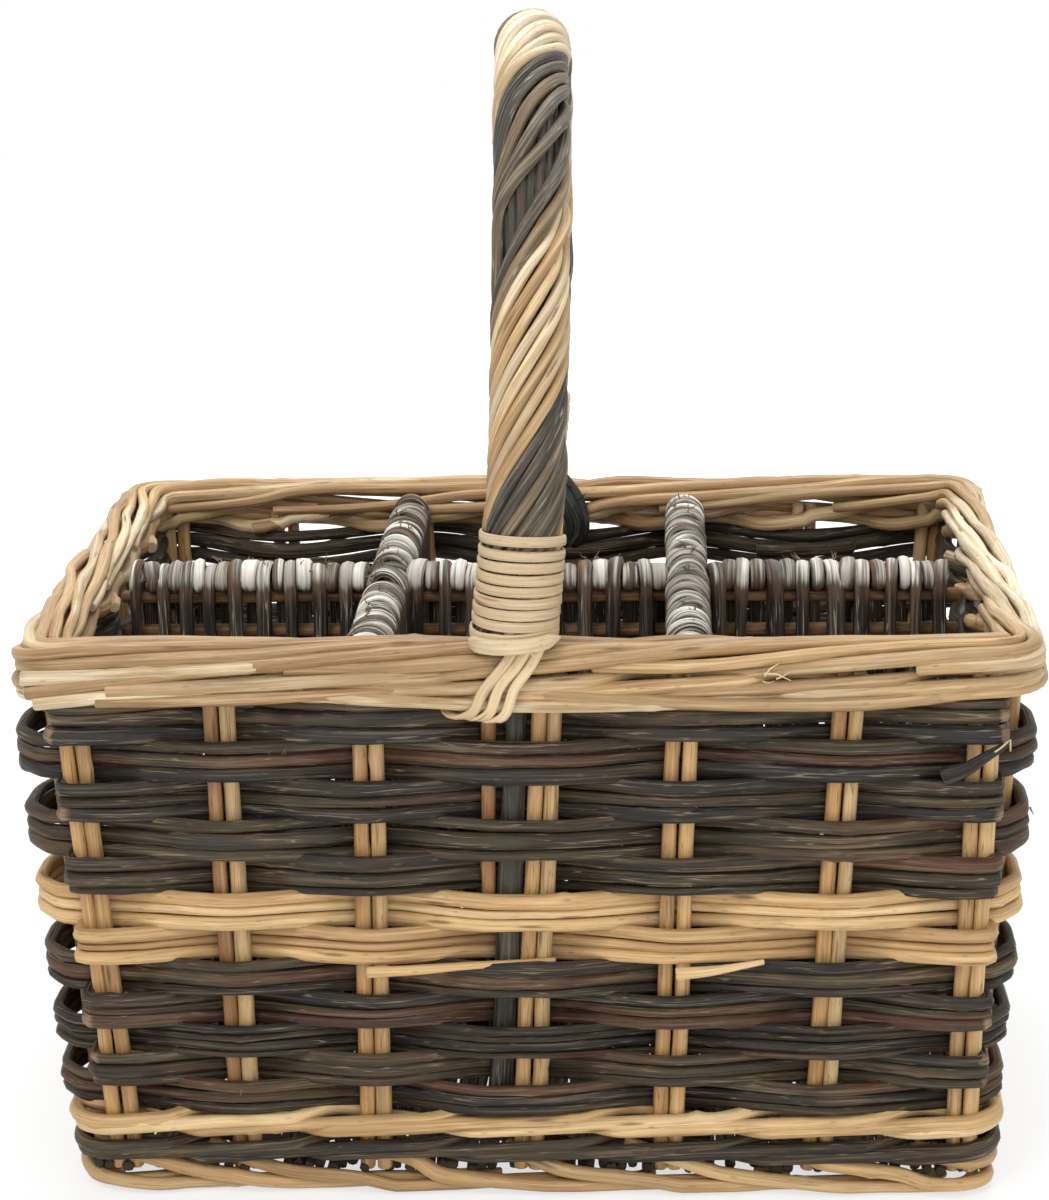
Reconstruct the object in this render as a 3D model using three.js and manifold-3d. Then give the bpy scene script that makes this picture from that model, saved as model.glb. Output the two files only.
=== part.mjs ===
// Willow carrier for six wine bottles. Millimetres, +Z up, +X across the width, the front wall faces -Y.
// The origin is the middle of the footprint, on the surface that the basket stands on.
import * as THREE from "three";
import { mergeVertices } from "three/addons/utils/BufferGeometryUtils.js";
import Module from "manifold-3d";

const wasm = await Module();
wasm.setup();

// Wall: a rounded rectangle through the middle of the stakes, leaning outwards with height.
const baseWidth = 327.4;
const baseDepth = 225.4;
const wallLean = 0.055;
const cornerRadius = 10;
const leastCornerRadius = 1.5;
const clearance = 0.35;

// Stakes: pairs of upright rods.
const stakeRadius = 2.8;
const stakeNeck = 0.9;
const longSideFootShares = [-0.919, -0.648, -0.357, 0, 0.299, 0.633, 0.955];
const longSideTopShares = [-0.93, -0.622, -0.316, 0, 0.318, 0.653, 0.92];
const shortSideShares = [-0.757, -0.38, 0, 0.38, 0.757];
const middleStakeFootX = -3;
const middleStakeTopX = 9;
const legGap = 1.6;

// Layers from the floor up.
const footHeight = 8;
const footOuterTop = 6.4;
const footOuterBottom = 1;
const footInner = 6.2;
const matThickness = 4;
const matOverhang = 2;
const lowWaleDarkHeight = 9.9;
const lowWaleLightHeight = 10.6;
const rowCount = 12;
const lowestRowHeight = 10.8;
const rowGrowth = 0.405;
const lightRows = [5, 6];
const highWaleHeight = 10.2;
const waleOuter = 7.4;
const waleInner = 8;
const borderHeight = 10;
const borderOuter = 7.4;
const borderInner = 12.4;
const borderRods = 6;
const borderGroove = 2;
const borderWaistHeight = 4;
const borderRoundness = 0.8;
const borderStartAngle = -0.9;

// Woven rows: each a bundle of rods that passes in front of every second stake pair.
const bundleThickness = 5.5;
const weaveOffset = 7.3;
const bundleCornerCut = 4;
const closeCornerGap = 1.8;
const bundleWideCornerCut = 9;

// Rails under the mat.
const railUnderRadius = 2.7;
const railUnderSpacing = 118;

// Dividers: rods bent into hairpins over a rail.
const hairpinRod = 5.2;
const crossHairpins = 25;
const longHairpinPitch = 5.3;
const hairpinGroove = 1.6;
const dividerRailRadius = 2.7;
const dividerTop = 211.4;
const crossDividerX = 57.9;
const longRailDrop = 6;
const secondRailDrop = 14;
const dividerEndLean = 0.04;

// Bow handle.
const bowRise = 193;
const bowFootX = -4;
const bowBackFootX = -9.4;
const bowSway = 7.7;
const bowSwayPower = 3.5;
const coreRadius = 6.9;
const legRadius = 4;
const ropingInner = 8.7;
const ropingOuter = 13.9;
const ropingLay = 130;
const ropingStart = 26;
const ropingGap = 0.5;
const ropingRods = 6;

// Flat cane bound round each foot of the bow, and the lash that ties it to the rim.
const caneWidth = 3.45;
const caneThickness = 1.6;
const bindingTurns = 9;
const bindingPitch = 3.95;
const lashStrands = 3;
const lashStrandWidth = 4.9;
const lashThickness = 2;
const lashGroove = 0.7;
const lashTopX = 5.5;
const lashBackTopX = 0.1;
const lashBottomX = -15.8;
const lashBendShare = 0.4;
const lashTopDrop = 3.2;
const notchWidth = 20;

// Facets.
const cornerSteps = 3;
const borderStepsPerRod = 2;
const rodSides = 8;
const bowSteps = 40;
const ropingStepsPerTurn = 14;
const caneStepsPerTurn = 18;
const cutOverrun = 5;

// Colours, roughness.
const finishes = {
  stake: { color: 0xbf8a55, roughness: 0.6 },
  lightRod: { color: 0xcaa06a, roughness: 0.6 },
  darkRod: { color: 0x4b4038, roughness: 0.75 },
  border: { color: 0xd6b47c, roughness: 0.55 },
  base: { color: 0x3f3832, roughness: 0.8 },
  rail: { color: 0x9c6c43, roughness: 0.7 },
  divider: { color: 0x5b5149, roughness: 0.85 },
  core: { color: 0x55473b, roughness: 0.75 },
  cane: { color: 0xe0c492, roughness: 0.5 },
};

// Levels worked out from the layers.
const matBottom = footHeight + clearance;
const matTop = matBottom + matThickness;
const lowWaleDarkBottom = matTop + clearance;
const lowWaleDarkTop = lowWaleDarkBottom + lowWaleDarkHeight;
const lowWaleLightBottom = lowWaleDarkTop + clearance;
const lowWaleLightTop = lowWaleLightBottom + lowWaleLightHeight;
const stakeBottom = matTop + clearance;

// Bottom and top of a woven row, counted from the top one.
function rowLevels(row) {
  const fromBottom = rowCount - 1 - row;
  const grown = (rowGrowth * fromBottom * (fromBottom - 1)) / 2;
  const bottom = lowWaleLightTop + clearance + fromBottom * (lowestRowHeight + clearance) + grown;
  return [bottom, bottom + lowestRowHeight + rowGrowth * fromBottom];
}

const highWaleBottom = rowLevels(0)[1] + clearance;
const highWaleTop = highWaleBottom + highWaleHeight;
const borderBottom = highWaleTop + clearance;
const rimTop = borderBottom + borderHeight;
const stakeTop = highWaleTop;
const legBottom = lowWaleLightTop + clearance;
const bowBase = rimTop + clearance;

const halfX = (z) => baseWidth / 2 + wallLean * z;
const halfY = (z) => baseDepth / 2 + wallLean * z;

// Middle of the off-centre stake pairs and of the bow's legs beside them, at a height.
const pairHalfWidth = 2 * stakeRadius;
function middleStakeX(z) {
  return middleStakeFootX + ((middleStakeTopX - middleStakeFootX) * z) / rimTop;
}
const legOuterEdge = pairHalfWidth + legGap + 2 * legRadius + clearance;
const legX = (z) => middleStakeX(z) - pairHalfWidth - legGap - legRadius;

// Closed skin over a list of rings of points; an open skin gets flat caps.
// Its four-sided faces are split one way, except in the turned column, which is split the other way.
function skin(rings, closed, turned) {
  const count = rings[0].length;
  const points = rings.flat();
  const index = [];
  const last = closed ? rings.length : rings.length - 1;
  for (let i = 0; i < last; i++) {
    const a = i * count;
    const b = ((i + 1) % rings.length) * count;
    for (let j = 0; j < count; j++) {
      const k = (j + 1) % count;
      const oneWay = [a + j, b + j, b + k, a + j, b + k, a + k];
      const otherWay = [a + j, b + j, a + k, b + j, b + k, a + k];
      index.push(...(j === turned ? otherWay : oneWay));
    }
  }
  if (!closed) {
    const ends = [0, (rings.length - 1) * count];
    ends.forEach((start, end) => {
      for (const face of capFaces(rings[end ? rings.length - 1 : 0])) {
        const [p, q, r] = face.map((n) => start + n);
        index.push(...(end ? [r, q, p] : [p, q, r]));
      }
    });
  }
  const geometry = new THREE.BufferGeometry();
  geometry.setAttribute("position", new THREE.Float32BufferAttribute(points.flatMap((p) => p.toArray()), 3));
  geometry.setIndex(index);
  return facingOut(geometry);
}

// Triangles of a flat ring, in the order in which its edges run in the skin.
function capFaces(ring) {
  const normal = new THREE.Vector3();
  ring.forEach((p, i) => normal.add(new THREE.Vector3().crossVectors(p, ring[(i + 1) % ring.length])));
  const axes = ["x", "y", "z"];
  const size = axes.map((axis) => Math.abs(normal[axis]));
  const drop = size.indexOf(Math.max(...size));
  const [u, v] = axes.filter((axis, i) => i !== drop);
  const flat = ring.map((p) => new THREE.Vector2(p[u], p[v]));
  const forward = THREE.ShapeUtils.area(flat) > 0;
  const faces = THREE.ShapeUtils.triangulateShape(flat, []);
  return faces.map((face) => {
    const [a, b, c] = face.map((n) => flat[n]);
    const turn = (b.x - a.x) * (c.y - a.y) - (c.x - a.x) * (b.y - a.y) > 0;
    return turn === forward ? face : [face[2], face[1], face[0]];
  });
}

// Turns a geometry inside out if its signed volume is negative.
function facingOut(geometry) {
  const position = geometry.getAttribute("position");
  const index = geometry.getIndex().array;
  const corner = [0, 1, 2].map(() => new THREE.Vector3());
  let volume = 0;
  for (let i = 0; i < index.length; i += 3) {
    corner.forEach((c, k) => c.fromBufferAttribute(position, index[i + k]));
    volume += corner[0].dot(corner[1].clone().cross(corner[2]));
  }
  if (volume < 0) {
    for (let i = 0; i < index.length; i += 3) {
      [index[i], index[i + 2]] = [index[i + 2], index[i]];
    }
  }
  return geometry;
}

// A closed geometry as a solid for cutting, and back.
function solidOf(geometry) {
  const bare = geometry.clone();
  bare.deleteAttribute("normal");
  bare.deleteAttribute("uv");
  const merged = mergeVertices(bare);
  const vertProperties = merged.getAttribute("position").array;
  return new wasm.Manifold(new wasm.Mesh({ numProp: 3, vertProperties, triVerts: merged.getIndex().array }));
}

function geometryOf(solid) {
  const mesh = solid.getMesh();
  const geometry = new THREE.BufferGeometry();
  geometry.setAttribute("position", new THREE.BufferAttribute(mesh.vertProperties, 3));
  geometry.setIndex(new THREE.BufferAttribute(mesh.triVerts, 1));
  return geometry;
}

function cut(geometry, tools) {
  const solid = tools.reduce((rest, tool) => rest.subtract(solidOf(tool)), solidOf(geometry));
  return geometryOf(solid);
}

// The rounded rectangle's corners, anticlockwise: quarter turn, side along X and side along Y.
const corners = [[0, 1, 1], [1, -1, 1], [2, -1, -1], [3, 1, -1]];

function cornerPoint([quadrant, sx, sy], step, offset, z) {
  const angle = (Math.PI / 2) * (quadrant + step / cornerSteps);
  const radius = Math.max(cornerRadius + offset, leastCornerRadius);
  const x = sx * (halfX(z) + offset - radius) + radius * Math.cos(angle);
  const y = sy * (halfY(z) + offset - radius) + radius * Math.sin(angle);
  return new THREE.Vector3(x, y, z);
}

// Ring round the basket: a section of [offset outwards, height] points carried round the rounded rectangle.
function wallRing(section) {
  const rings = [];
  for (const corner of corners) {
    for (let step = 0; step <= cornerSteps; step++) {
      rings.push(section.map(([offset, z]) => cornerPoint(corner, step, offset, z)));
    }
  }
  return skin(rings, true);
}

// Places round the wall as functions of offset and height: the corners' steps, and stops between corners.
function wallPlaces(stopSpacing) {
  const places = [];
  corners.forEach((corner, i) => {
    const next = corners[(i + 1) % corners.length];
    for (let step = 0; step <= cornerSteps; step++) {
      places.push((offset, z) => cornerPoint(corner, step, offset, z));
    }
    const from = (offset, z) => cornerPoint(corner, cornerSteps, offset, z);
    const to = (offset, z) => cornerPoint(next, 0, offset, z);
    const stops = Math.round(from(0, rimTop).distanceTo(to(0, rimTop)) / stopSpacing);
    for (let stop = 1; stop < stops; stop++) {
      places.push((offset, z) => from(offset, z).lerp(to(offset, z), stop / stops));
    }
  });
  return places;
}

// The stakes, anticlockwise from the front left corner: middle, direction along the wall and outwards.
const stakes = [];
const middleIndex = Math.floor(longSideFootShares.length / 2);

function addStakes(side, footShares, topShares, along, out) {
  footShares.forEach((foot, i) => {
    const middle = out[1] !== 0 && i === middleIndex;
    stakes.push({ side, middle, number: i + 1, foot, top: topShares[i], along, out });
  });
}

addStakes("front", longSideFootShares, longSideTopShares, [1, 0], [0, -1]);
addStakes("right", shortSideShares, shortSideShares, [0, 1], [1, 0]);
addStakes("back", longSideFootShares, longSideTopShares, [-1, 0], [0, 1]);
addStakes("left", shortSideShares, shortSideShares, [0, -1], [-1, 0]);

// Plan position of a stake's middle at a height: its share of the wall changes from foot to rim.
function stakePlace(stake, z) {
  const climb = z / rimTop;
  const half = stake.out[0] !== 0 ? halfY : halfX;
  const reach = (1 - climb) * stake.foot * half(0) + climb * stake.top * half(rimTop);
  if (stake.out[0] !== 0) {
    return [stake.out[0] * halfX(z), stake.along[1] * reach];
  }
  return [stake.middle ? middleStakeX(z) : stake.along[0] * reach, stake.out[1] * halfY(z)];
}

// Upright prism at a stake: its section is a list of [along the wall, outwards] points.
function stakePrism(stake, section, low, high) {
  const rings = [low, high].map((z) => {
    const [x, y] = stakePlace(stake, z);
    return section.map(([u, v]) => {
      const px = x + u * stake.along[0] + v * stake.out[0];
      const py = y + u * stake.along[1] + v * stake.out[1];
      return new THREE.Vector3(px, py, z);
    });
  });
  return skin(rings, false);
}

// Two round rods side by side, joined by a narrow neck.
function pairSection() {
  const section = [];
  for (const sign of [1, -1]) {
    for (let step = 0; step <= rodSides / 2; step++) {
      const angle = (2 * Math.PI * step) / rodSides - Math.PI / 2;
      const along = stakeRadius + stakeRadius * Math.cos(angle);
      section.push([sign * along, sign * stakeRadius * Math.sin(angle)]);
    }
    section.push([0, sign * stakeNeck]);
  }
  return section;
}

// Slot that a stake pair passes through; beside the bow it takes the leg too.
function slotFor(stake, low, high) {
  const wide = pairHalfWidth + clearance;
  const deep = (stake.middle ? legRadius : stakeRadius) + clearance;
  const legSide = stake.middle ? legOuterEdge : wide;
  const [left, right] = stake.along[0] > 0 ? [-legSide, wide] : [-wide, legSide];
  const section = [[left, -deep], [right, -deep], [right, deep], [left, deep]];
  return stakePrism(stake, section, low - cutOverrun, high + cutOverrun);
}

const slots = (low, high) => stakes.map((stake) => slotFor(stake, low, high));

// Band along a closed plan path: flat bundle of rods of one woven row.
function bandRing(path, thickness, low, high) {
  const middle = (low + high) / 2;
  const rings = path.map((point, i) => {
    const before = path[(i + path.length - 1) % path.length];
    const after = path[(i + 1) % path.length];
    const inDirection = point.clone().sub(before).normalize();
    const outDirection = after.clone().sub(point).normalize();
    const bisector = inDirection.clone().add(outDirection).normalize();
    const outward = new THREE.Vector2(bisector.y, -bisector.x);
    const reach = thickness / 2 / Math.abs(bisector.dot(inDirection));
    return [[-1, low], [1, low], [1, high], [-1, high]].map(([side, z]) => {
      const shift = side * reach;
      const tilt = wallLean * (z - middle);
      const tiltX = Math.abs(outward.x) > Math.SQRT1_2 ? Math.sign(point.x) * tilt : 0;
      const tiltY = Math.abs(outward.y) > Math.SQRT1_2 ? Math.sign(point.y) * tilt : 0;
      return new THREE.Vector3(point.x + outward.x * shift + tiltX, point.y + outward.y * shift + tiltY, z);
    });
  });
  return skin(rings, true);
}

// Plan path of a row: outside every second stake pair, inside the others.
function rowPath(row) {
  const [low, high] = rowLevels(row);
  const z = (low + high) / 2;
  const side = (index) => (index % 2 === row % 2 ? 1 : -1);
  const path = [];
  stakes.forEach((stake, i) => {
    const [x, y] = stakePlace(stake, z);
    const shift = side(i) * weaveOffset;
    const edges = stake.middle ? middleEdges(stake) : [0];
    for (const edge of edges) {
      const px = x + edge * stake.along[0] + shift * stake.out[0];
      const py = y + edge * stake.along[1] + shift * stake.out[1];
      path.push(new THREE.Vector2(px, py));
    }
    const next = stakes[(i + 1) % stakes.length];
    if (next.side !== stake.side) {
      path.push(...cornerPoints(stake, next, z, side(i), side(i + 1)));
    }
  });
  return path;
}

// Ends of the flat stretch of a row over the pair and leg at the middle of a long wall.
function middleEdges(stake) {
  const stakeEdge = pairHalfWidth + clearance;
  return stake.along[0] > 0 ? [-legOuterEdge, stakeEdge] : [-stakeEdge, legOuterEdge];
}

// A row's corner, cut off once: close round the long wall's last stake, or wide round the short wall's line.
function cornerPoints(stake, next, z, stakeSide, nextSide) {
  const longFirst = stake.out[1] !== 0;
  const [longStake, shortStake] = longFirst ? [stake, next] : [next, stake];
  const longSide = longFirst ? stakeSide : nextSide;
  const close = longSide > 0;
  const closeX = Math.abs(stakePlace(longStake, z)[0]) + pairHalfWidth + closeCornerGap + bundleThickness / 2;
  const x = shortStake.out[0] * (close ? closeX : halfX(z) + weaveOffset);
  const y = longStake.out[1] * (halfY(z) + longSide * weaveOffset);
  const reach = close ? bundleCornerCut : bundleWideCornerCut;
  const before = new THREE.Vector2(x - reach * stake.along[0], y - reach * stake.along[1]);
  const after = new THREE.Vector2(x + reach * next.along[0], y + reach * next.along[1]);
  return [before, after];
}

function wovenRow(row) {
  const [low, high] = rowLevels(row);
  return bandRing(rowPath(row), bundleThickness, low, high);
}

// Layers that run round all four walls.
function rectangleSection(outer, inner, low, high) {
  return [[-inner, low], [outer, low], [outer, high], [-inner, high]];
}

function footBorder() {
  const floor = [[-footInner, 0], [footOuterBottom, 0]];
  return wallRing([...floor, [footOuterTop, footHeight], [-footInner, footHeight]]);
}

function wale(low, high) {
  return cut(wallRing(rectangleSection(waleOuter, waleInner, low, high)), slots(low, high));
}

// Room under the upper wale for the lash at each foot of the bow.
function lashNotch(sign) {
  const height = lashThickness + clearance;
  const depth = 2 * (waleOuter + waleInner + cutOverrun);
  const notch = new THREE.BoxGeometry(notchWidth, depth, 2 * height);
  notch.translate(lashBottomX, -sign * halfY(highWaleBottom), highWaleBottom);
  return notch;
}

function highWale() {
  return cut(wale(highWaleBottom, highWaleTop), [lashNotch(1), lashNotch(-1)]);
}

// The border's rods lie side by side round a flat section, and each climbs from outside over the top to inside.
// One rod starts at each stake, so a section turns once for every set of rods.
function borderSection(turn) {
  const section = [];
  const middle = (borderOuter - borderInner) / 2;
  const rounded = (value) => Math.sign(value) * Math.abs(value) ** borderRoundness;
  for (let half = 0; half < 2 * borderRods; half++) {
    const angle = borderStartAngle + 2 * Math.PI * (turn + half / (2 * borderRods));
    const inset = half % 2 === 0 ? 0 : borderGroove;
    const reach = (borderOuter + borderInner) / 2 - inset;
    const rise = borderHeight - borderWaistHeight - inset;
    const z = borderBottom + borderWaistHeight + rise * rounded(Math.sin(angle));
    section.push([middle + reach * rounded(Math.cos(angle)), Math.max(z, borderBottom)]);
  }
  return section;
}

function borderRing() {
  const outline = corners.map((corner) => cornerPoint(corner, cornerSteps / 2, 0, rimTop));
  const girth = outline.reduce((sum, point, i) => sum + point.distanceTo(outline[(i + 1) % outline.length]), 0);
  const places = wallPlaces(girth / stakes.length / borderStepsPerRod);
  const along = [0];
  for (let i = 1; i <= places.length; i++) {
    const step = places[i % places.length](0, rimTop).distanceTo(places[i - 1](0, rimTop));
    along.push(along[i - 1] + step);
  }
  const turns = Math.round(stakes.length / borderRods);
  const rings = places.map((place, i) => {
    const section = borderSection((turns * along[i]) / along[places.length]);
    return section.map(([offset, z]) => place(offset, z));
  });
  return skin(rings, true);
}

function topBorder() {
  const holes = [1, -1].map((sign) => {
    const low = legCentre(borderBottom - cutOverrun, sign);
    const high = legCentre(rimTop + cutOverrun, sign);
    return roundBar([low, high], legRadius + clearance);
  });
  return cut(borderRing(), holes);
}

// Mat of the base, resting on the foot border.
function baseMat() {
  const reachX = halfX(matBottom) + matOverhang - cornerRadius;
  const reachY = halfY(matBottom) + matOverhang - cornerRadius;
  const outline = new THREE.Shape();
  outline.absarc(reachX, reachY, cornerRadius, 0, Math.PI / 2);
  outline.absarc(-reachX, reachY, cornerRadius, Math.PI / 2, Math.PI);
  outline.absarc(-reachX, -reachY, cornerRadius, Math.PI, (3 * Math.PI) / 2);
  outline.absarc(reachX, -reachY, cornerRadius, (3 * Math.PI) / 2, 2 * Math.PI);
  const options = { depth: matThickness, bevelEnabled: false, curveSegments: cornerSteps };
  return new THREE.ExtrudeGeometry(outline, options).translate(0, 0, matBottom);
}

// Straight round bar through a list of points, or a bar whose radius differs at each point.
function roundBar(points, radius) {
  const start = points[0];
  const direction = points[points.length - 1].clone().sub(start).normalize();
  const steep = Math.abs(direction.z) > Math.SQRT1_2;
  const helper = new THREE.Vector3(steep ? 1 : 0, 0, steep ? 0 : 1);
  const u = new THREE.Vector3().crossVectors(direction, helper).normalize();
  const v = new THREE.Vector3().crossVectors(direction, u);
  const rings = points.map((point) => roundSection(point, u, v, radius, rodSides));
  return skin(rings, false);
}

function roundSection(centre, u, v, radius, sides) {
  const ring = [];
  for (let i = 0; i < sides; i++) {
    const angle = (2 * Math.PI * i) / sides;
    const point = centre.clone().addScaledVector(u, radius * Math.cos(angle));
    ring.push(point.addScaledVector(v, radius * Math.sin(angle)));
  }
  return ring;
}

function railUnder(y) {
  const z = matBottom - clearance - railUnderRadius;
  const reach = halfX(z) - footInner - clearance;
  return roundBar([new THREE.Vector3(-reach, y, z), new THREE.Vector3(reach, y, z)], railUnderRadius);
}

// Hairpins fit closely over the rail inside them.
const hairpinInner = dividerRailRadius + clearance;
const hairpinOuter = hairpinInner + hairpinRod;
const crossRailZ = dividerTop - hairpinOuter;
const longRailZ = crossRailZ - longRailDrop;
const dividerBottom = matTop + clearance;

// Upside-down U as [across, height] points: up one face, over the top and down the other face.
function hairpinArch(radius, low) {
  const centre = dividerTop - hairpinOuter;
  const points = [[radius, low]];
  for (let step = 0; step <= rodSides / 2; step++) {
    const angle = (2 * Math.PI * step) / rodSides;
    points.push([radius * Math.cos(angle), centre + radius * Math.sin(angle)]);
  }
  return [...points, [-radius, low]];
}

// Sheet of hairpins from one end to the other, drawn in between each two, and hollow inside for its rail.
function hairpinSheet(startAt, endAt, hairpins, place) {
  const archAt = (share, radius, low, overrun) => hairpinArch(radius, low).map(([across, z]) => {
    const at = startAt(z) + (endAt(z) - startAt(z)) * share;
    return place(at + overrun, across, z);
  });
  const rings = [];
  for (let half = 0; half <= 2 * hairpins; half++) {
    const radius = hairpinOuter - (half % 2 === 0 ? hairpinGroove : 0);
    rings.push(archAt(half / (2 * hairpins), radius, dividerBottom, 0));
  }
  const low = dividerBottom - cutOverrun;
  const hollow = [archAt(0, hairpinInner, low, -cutOverrun), archAt(1, hairpinInner, low, cutOverrun)];
  return cut(skin(rings, false), [skin(hollow, false)]);
}

const alongX = (at, across, z) => new THREE.Vector3(at, across, z);

// How far the dividers reach at a height, clear of the rows' inner side and of the border.
const rowDepth = weaveOffset + bundleThickness / 2 + 2 * clearance;
const innerX = (z) => halfX(dividerBottom) - rowDepth + dividerEndLean * z;
const innerY = (z) => halfY(dividerBottom) - rowDepth + dividerEndLean * z;

function longRail(z) {
  const reach = innerX(z);
  return roundBar([alongX(-reach, 0, z), alongX(reach, 0, z)], dividerRailRadius);
}

function crossRail(x) {
  const reach = innerY(crossRailZ);
  const ends = [-reach, reach].map((y) => new THREE.Vector3(x, y, crossRailZ));
  return roundBar(ends, dividerRailRadius);
}

// The long divider's rails pass through the cross dividers.
function crossDivider(x) {
  const place = (at, across, z) => new THREE.Vector3(x + across, at, z);
  const sheet = hairpinSheet((z) => -innerY(z), innerY, crossHairpins, place);
  const holes = [longRailZ, longRailZ - secondRailDrop].map((z) => {
    const reach = hairpinOuter + cutOverrun;
    return roundBar([alongX(x - reach, 0, z), alongX(x + reach, 0, z)], hairpinInner);
  });
  return cut(sheet, holes);
}

const crossFace = crossDividerX + hairpinOuter + clearance;
const crossInnerFace = crossDividerX - hairpinOuter - clearance;

function longDividerBay(bay) {
  const spans = {
    left: [(z) => -innerX(z), () => -crossFace],
    middle: [() => -crossInnerFace, () => crossInnerFace],
    right: [() => crossFace, innerX],
  };
  const [startAt, endAt] = spans[bay];
  const hairpins = Math.round((endAt(dividerTop) - startAt(dividerTop)) / longHairpinPitch);
  return hairpinSheet(startAt, endAt, hairpins, alongX);
}

// Bow handle: an elliptical arch from the front rim to the back rim, with a slight sway to the right.
class Bow extends THREE.Curve {
  getPoint(share) {
    const angle = Math.PI * share;
    const sway = 1 - (1 - Math.sin(angle)) ** bowSwayPower;
    const footX = THREE.MathUtils.lerp(bowFootX, bowBackFootX, (1 - Math.cos(angle)) / 2);
    const x = footX + bowSway * sway;
    return new THREE.Vector3(x, -halfY(bowBase) * Math.cos(angle), bowBase + bowRise * Math.sin(angle));
  }
}
const bow = new Bow();
const bowLength = bow.getLength();

// Frame of the bow a distance along it: the side axis is +X, the other axis points out of the arch.
function bowFrame(distance) {
  const share = THREE.MathUtils.clamp(distance / bowLength, 0, 1);
  const tangent = bow.getTangentAt(share);
  const side = new THREE.Vector3(1, 0, 0);
  const out = new THREE.Vector3().crossVectors(side, tangent).normalize();
  return { centre: bow.getPointAt(share), side, out, tangent };
}

function bowPoint(distance, radius, angle) {
  const { centre, side, out } = bowFrame(distance);
  centre.addScaledVector(side, radius * Math.cos(angle));
  return centre.addScaledVector(out, radius * Math.sin(angle));
}

// Middle of a bow leg where it runs down inside the weave; sign 1 is the front wall, -1 the back wall.
function legCentre(z, sign) {
  return new THREE.Vector3(legX(z), -sign * halfY(z), z);
}

function handleCore() {
  const rings = [];
  const level = (centre, radius, turn) => {
    const side = new THREE.Vector3(1, 0, 0);
    const out = new THREE.Vector3(0, -turn, 0);
    rings.push(roundSection(centre, side, out, radius, rodSides));
  };
  level(legCentre(legBottom, 1), legRadius, 1);
  level(legCentre(rimTop, 1), legRadius, 1);
  for (let step = 0; step <= bowSteps; step++) {
    const { centre, side, out } = bowFrame((bowLength * step) / bowSteps);
    rings.push(roundSection(centre, side, out, coreRadius, rodSides));
  }
  level(legCentre(rimTop, -1), legRadius, -1);
  level(legCentre(legBottom, -1), legRadius, -1);
  return skin(rings, false);
}

// Half of the roping: six rods side by side that climb round the core, turning clockwise seen from below.
function ropingBand(phase) {
  const steps = Math.round((ropingStepsPerTurn * bowLength) / ropingLay);
  const half = Math.PI / 2 - ropingGap / ropingInner / 2;
  const rings = [];
  for (let i = 0; i <= steps; i++) {
    const distance = (bowLength * i) / steps;
    const middle = Math.PI / 2 + phase - (2 * Math.PI * (distance - ropingStart)) / ropingLay;
    const ring = [];
    for (let k = 0; k <= ropingRods; k++) {
      ring.push(bowPoint(distance, ropingOuter, middle - half + (2 * half * k) / ropingRods));
    }
    for (let k = ropingRods - 1; k >= 1; k--) {
      const share = (k - 1) / (ropingRods - 2);
      ring.push(bowPoint(distance, ropingInner, middle - half + 2 * half * share));
    }
    rings.push(ring);
  }
  return skin(rings, false, ropingRods);
}

// Flat cane wound round a foot of the bow in one unbroken run; its ends run straight, square to the turns.
const bindingRadius = ropingOuter + clearance + caneThickness / 2;
const bindingStart = clearance + caneWidth / 2;

function bindingPath(sign) {
  const steps = bindingTurns * caneStepsPerTurn;
  const path = [];
  for (let i = 0; i <= steps; i++) {
    const fromFoot = bindingStart + (bindingPitch * bindingTurns * i) / steps;
    const distance = sign > 0 ? fromFoot : bowLength - fromFoot;
    const angle = sign * ((2 * Math.PI * i) / caneStepsPerTurn - Math.PI / 2);
    path.push({ distance, angle });
  }
  return path;
}

function binding(sign) {
  const path = bindingPath(sign);
  const section = [[-1, -1], [1, -1], [1, 1], [-1, 1]];
  const rings = path.map(({ distance, angle }) => {
    return section.map(([along, outward]) => {
      const radius = bindingRadius + (outward * caneThickness) / 2;
      return bowPoint(distance + (along * caneWidth) / 2, radius, angle);
    });
  });
  rings.unshift(straightEnd(rings[0], rings[1]));
  rings.push(straightEnd(rings[rings.length - 1], rings[rings.length - 2]));
  return skin(rings, false);
}

// One more section, carried on straight past the end of a winding by the cane's thickness.
function straightEnd(end, beforeEnd) {
  const step = end[0].clone().sub(beforeEnd[0]).setLength(caneThickness);
  return end.map((point) => point.clone().add(step));
}

// Least gap between neighbouring turns of a binding, measured on points along both edges of the cane.
function bindingGap(sign) {
  const path = bindingPath(sign);
  const edge = (i, along) => {
    return bowPoint(path[i].distance + (along * caneWidth) / 2, bindingRadius, path[i].angle);
  };
  let least = Infinity;
  for (let i = 0; i + caneStepsPerTurn < path.length; i++) {
    const nextTurn = path.map((point, j) => j).filter((j) => j > i + caneStepsPerTurn / 2);
    for (const j of nextTurn) {
      for (const along of [1, -1]) {
        least = Math.min(least, edge(i, along).distanceTo(edge(j, -along)));
      }
    }
  }
  return least;
}

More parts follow.
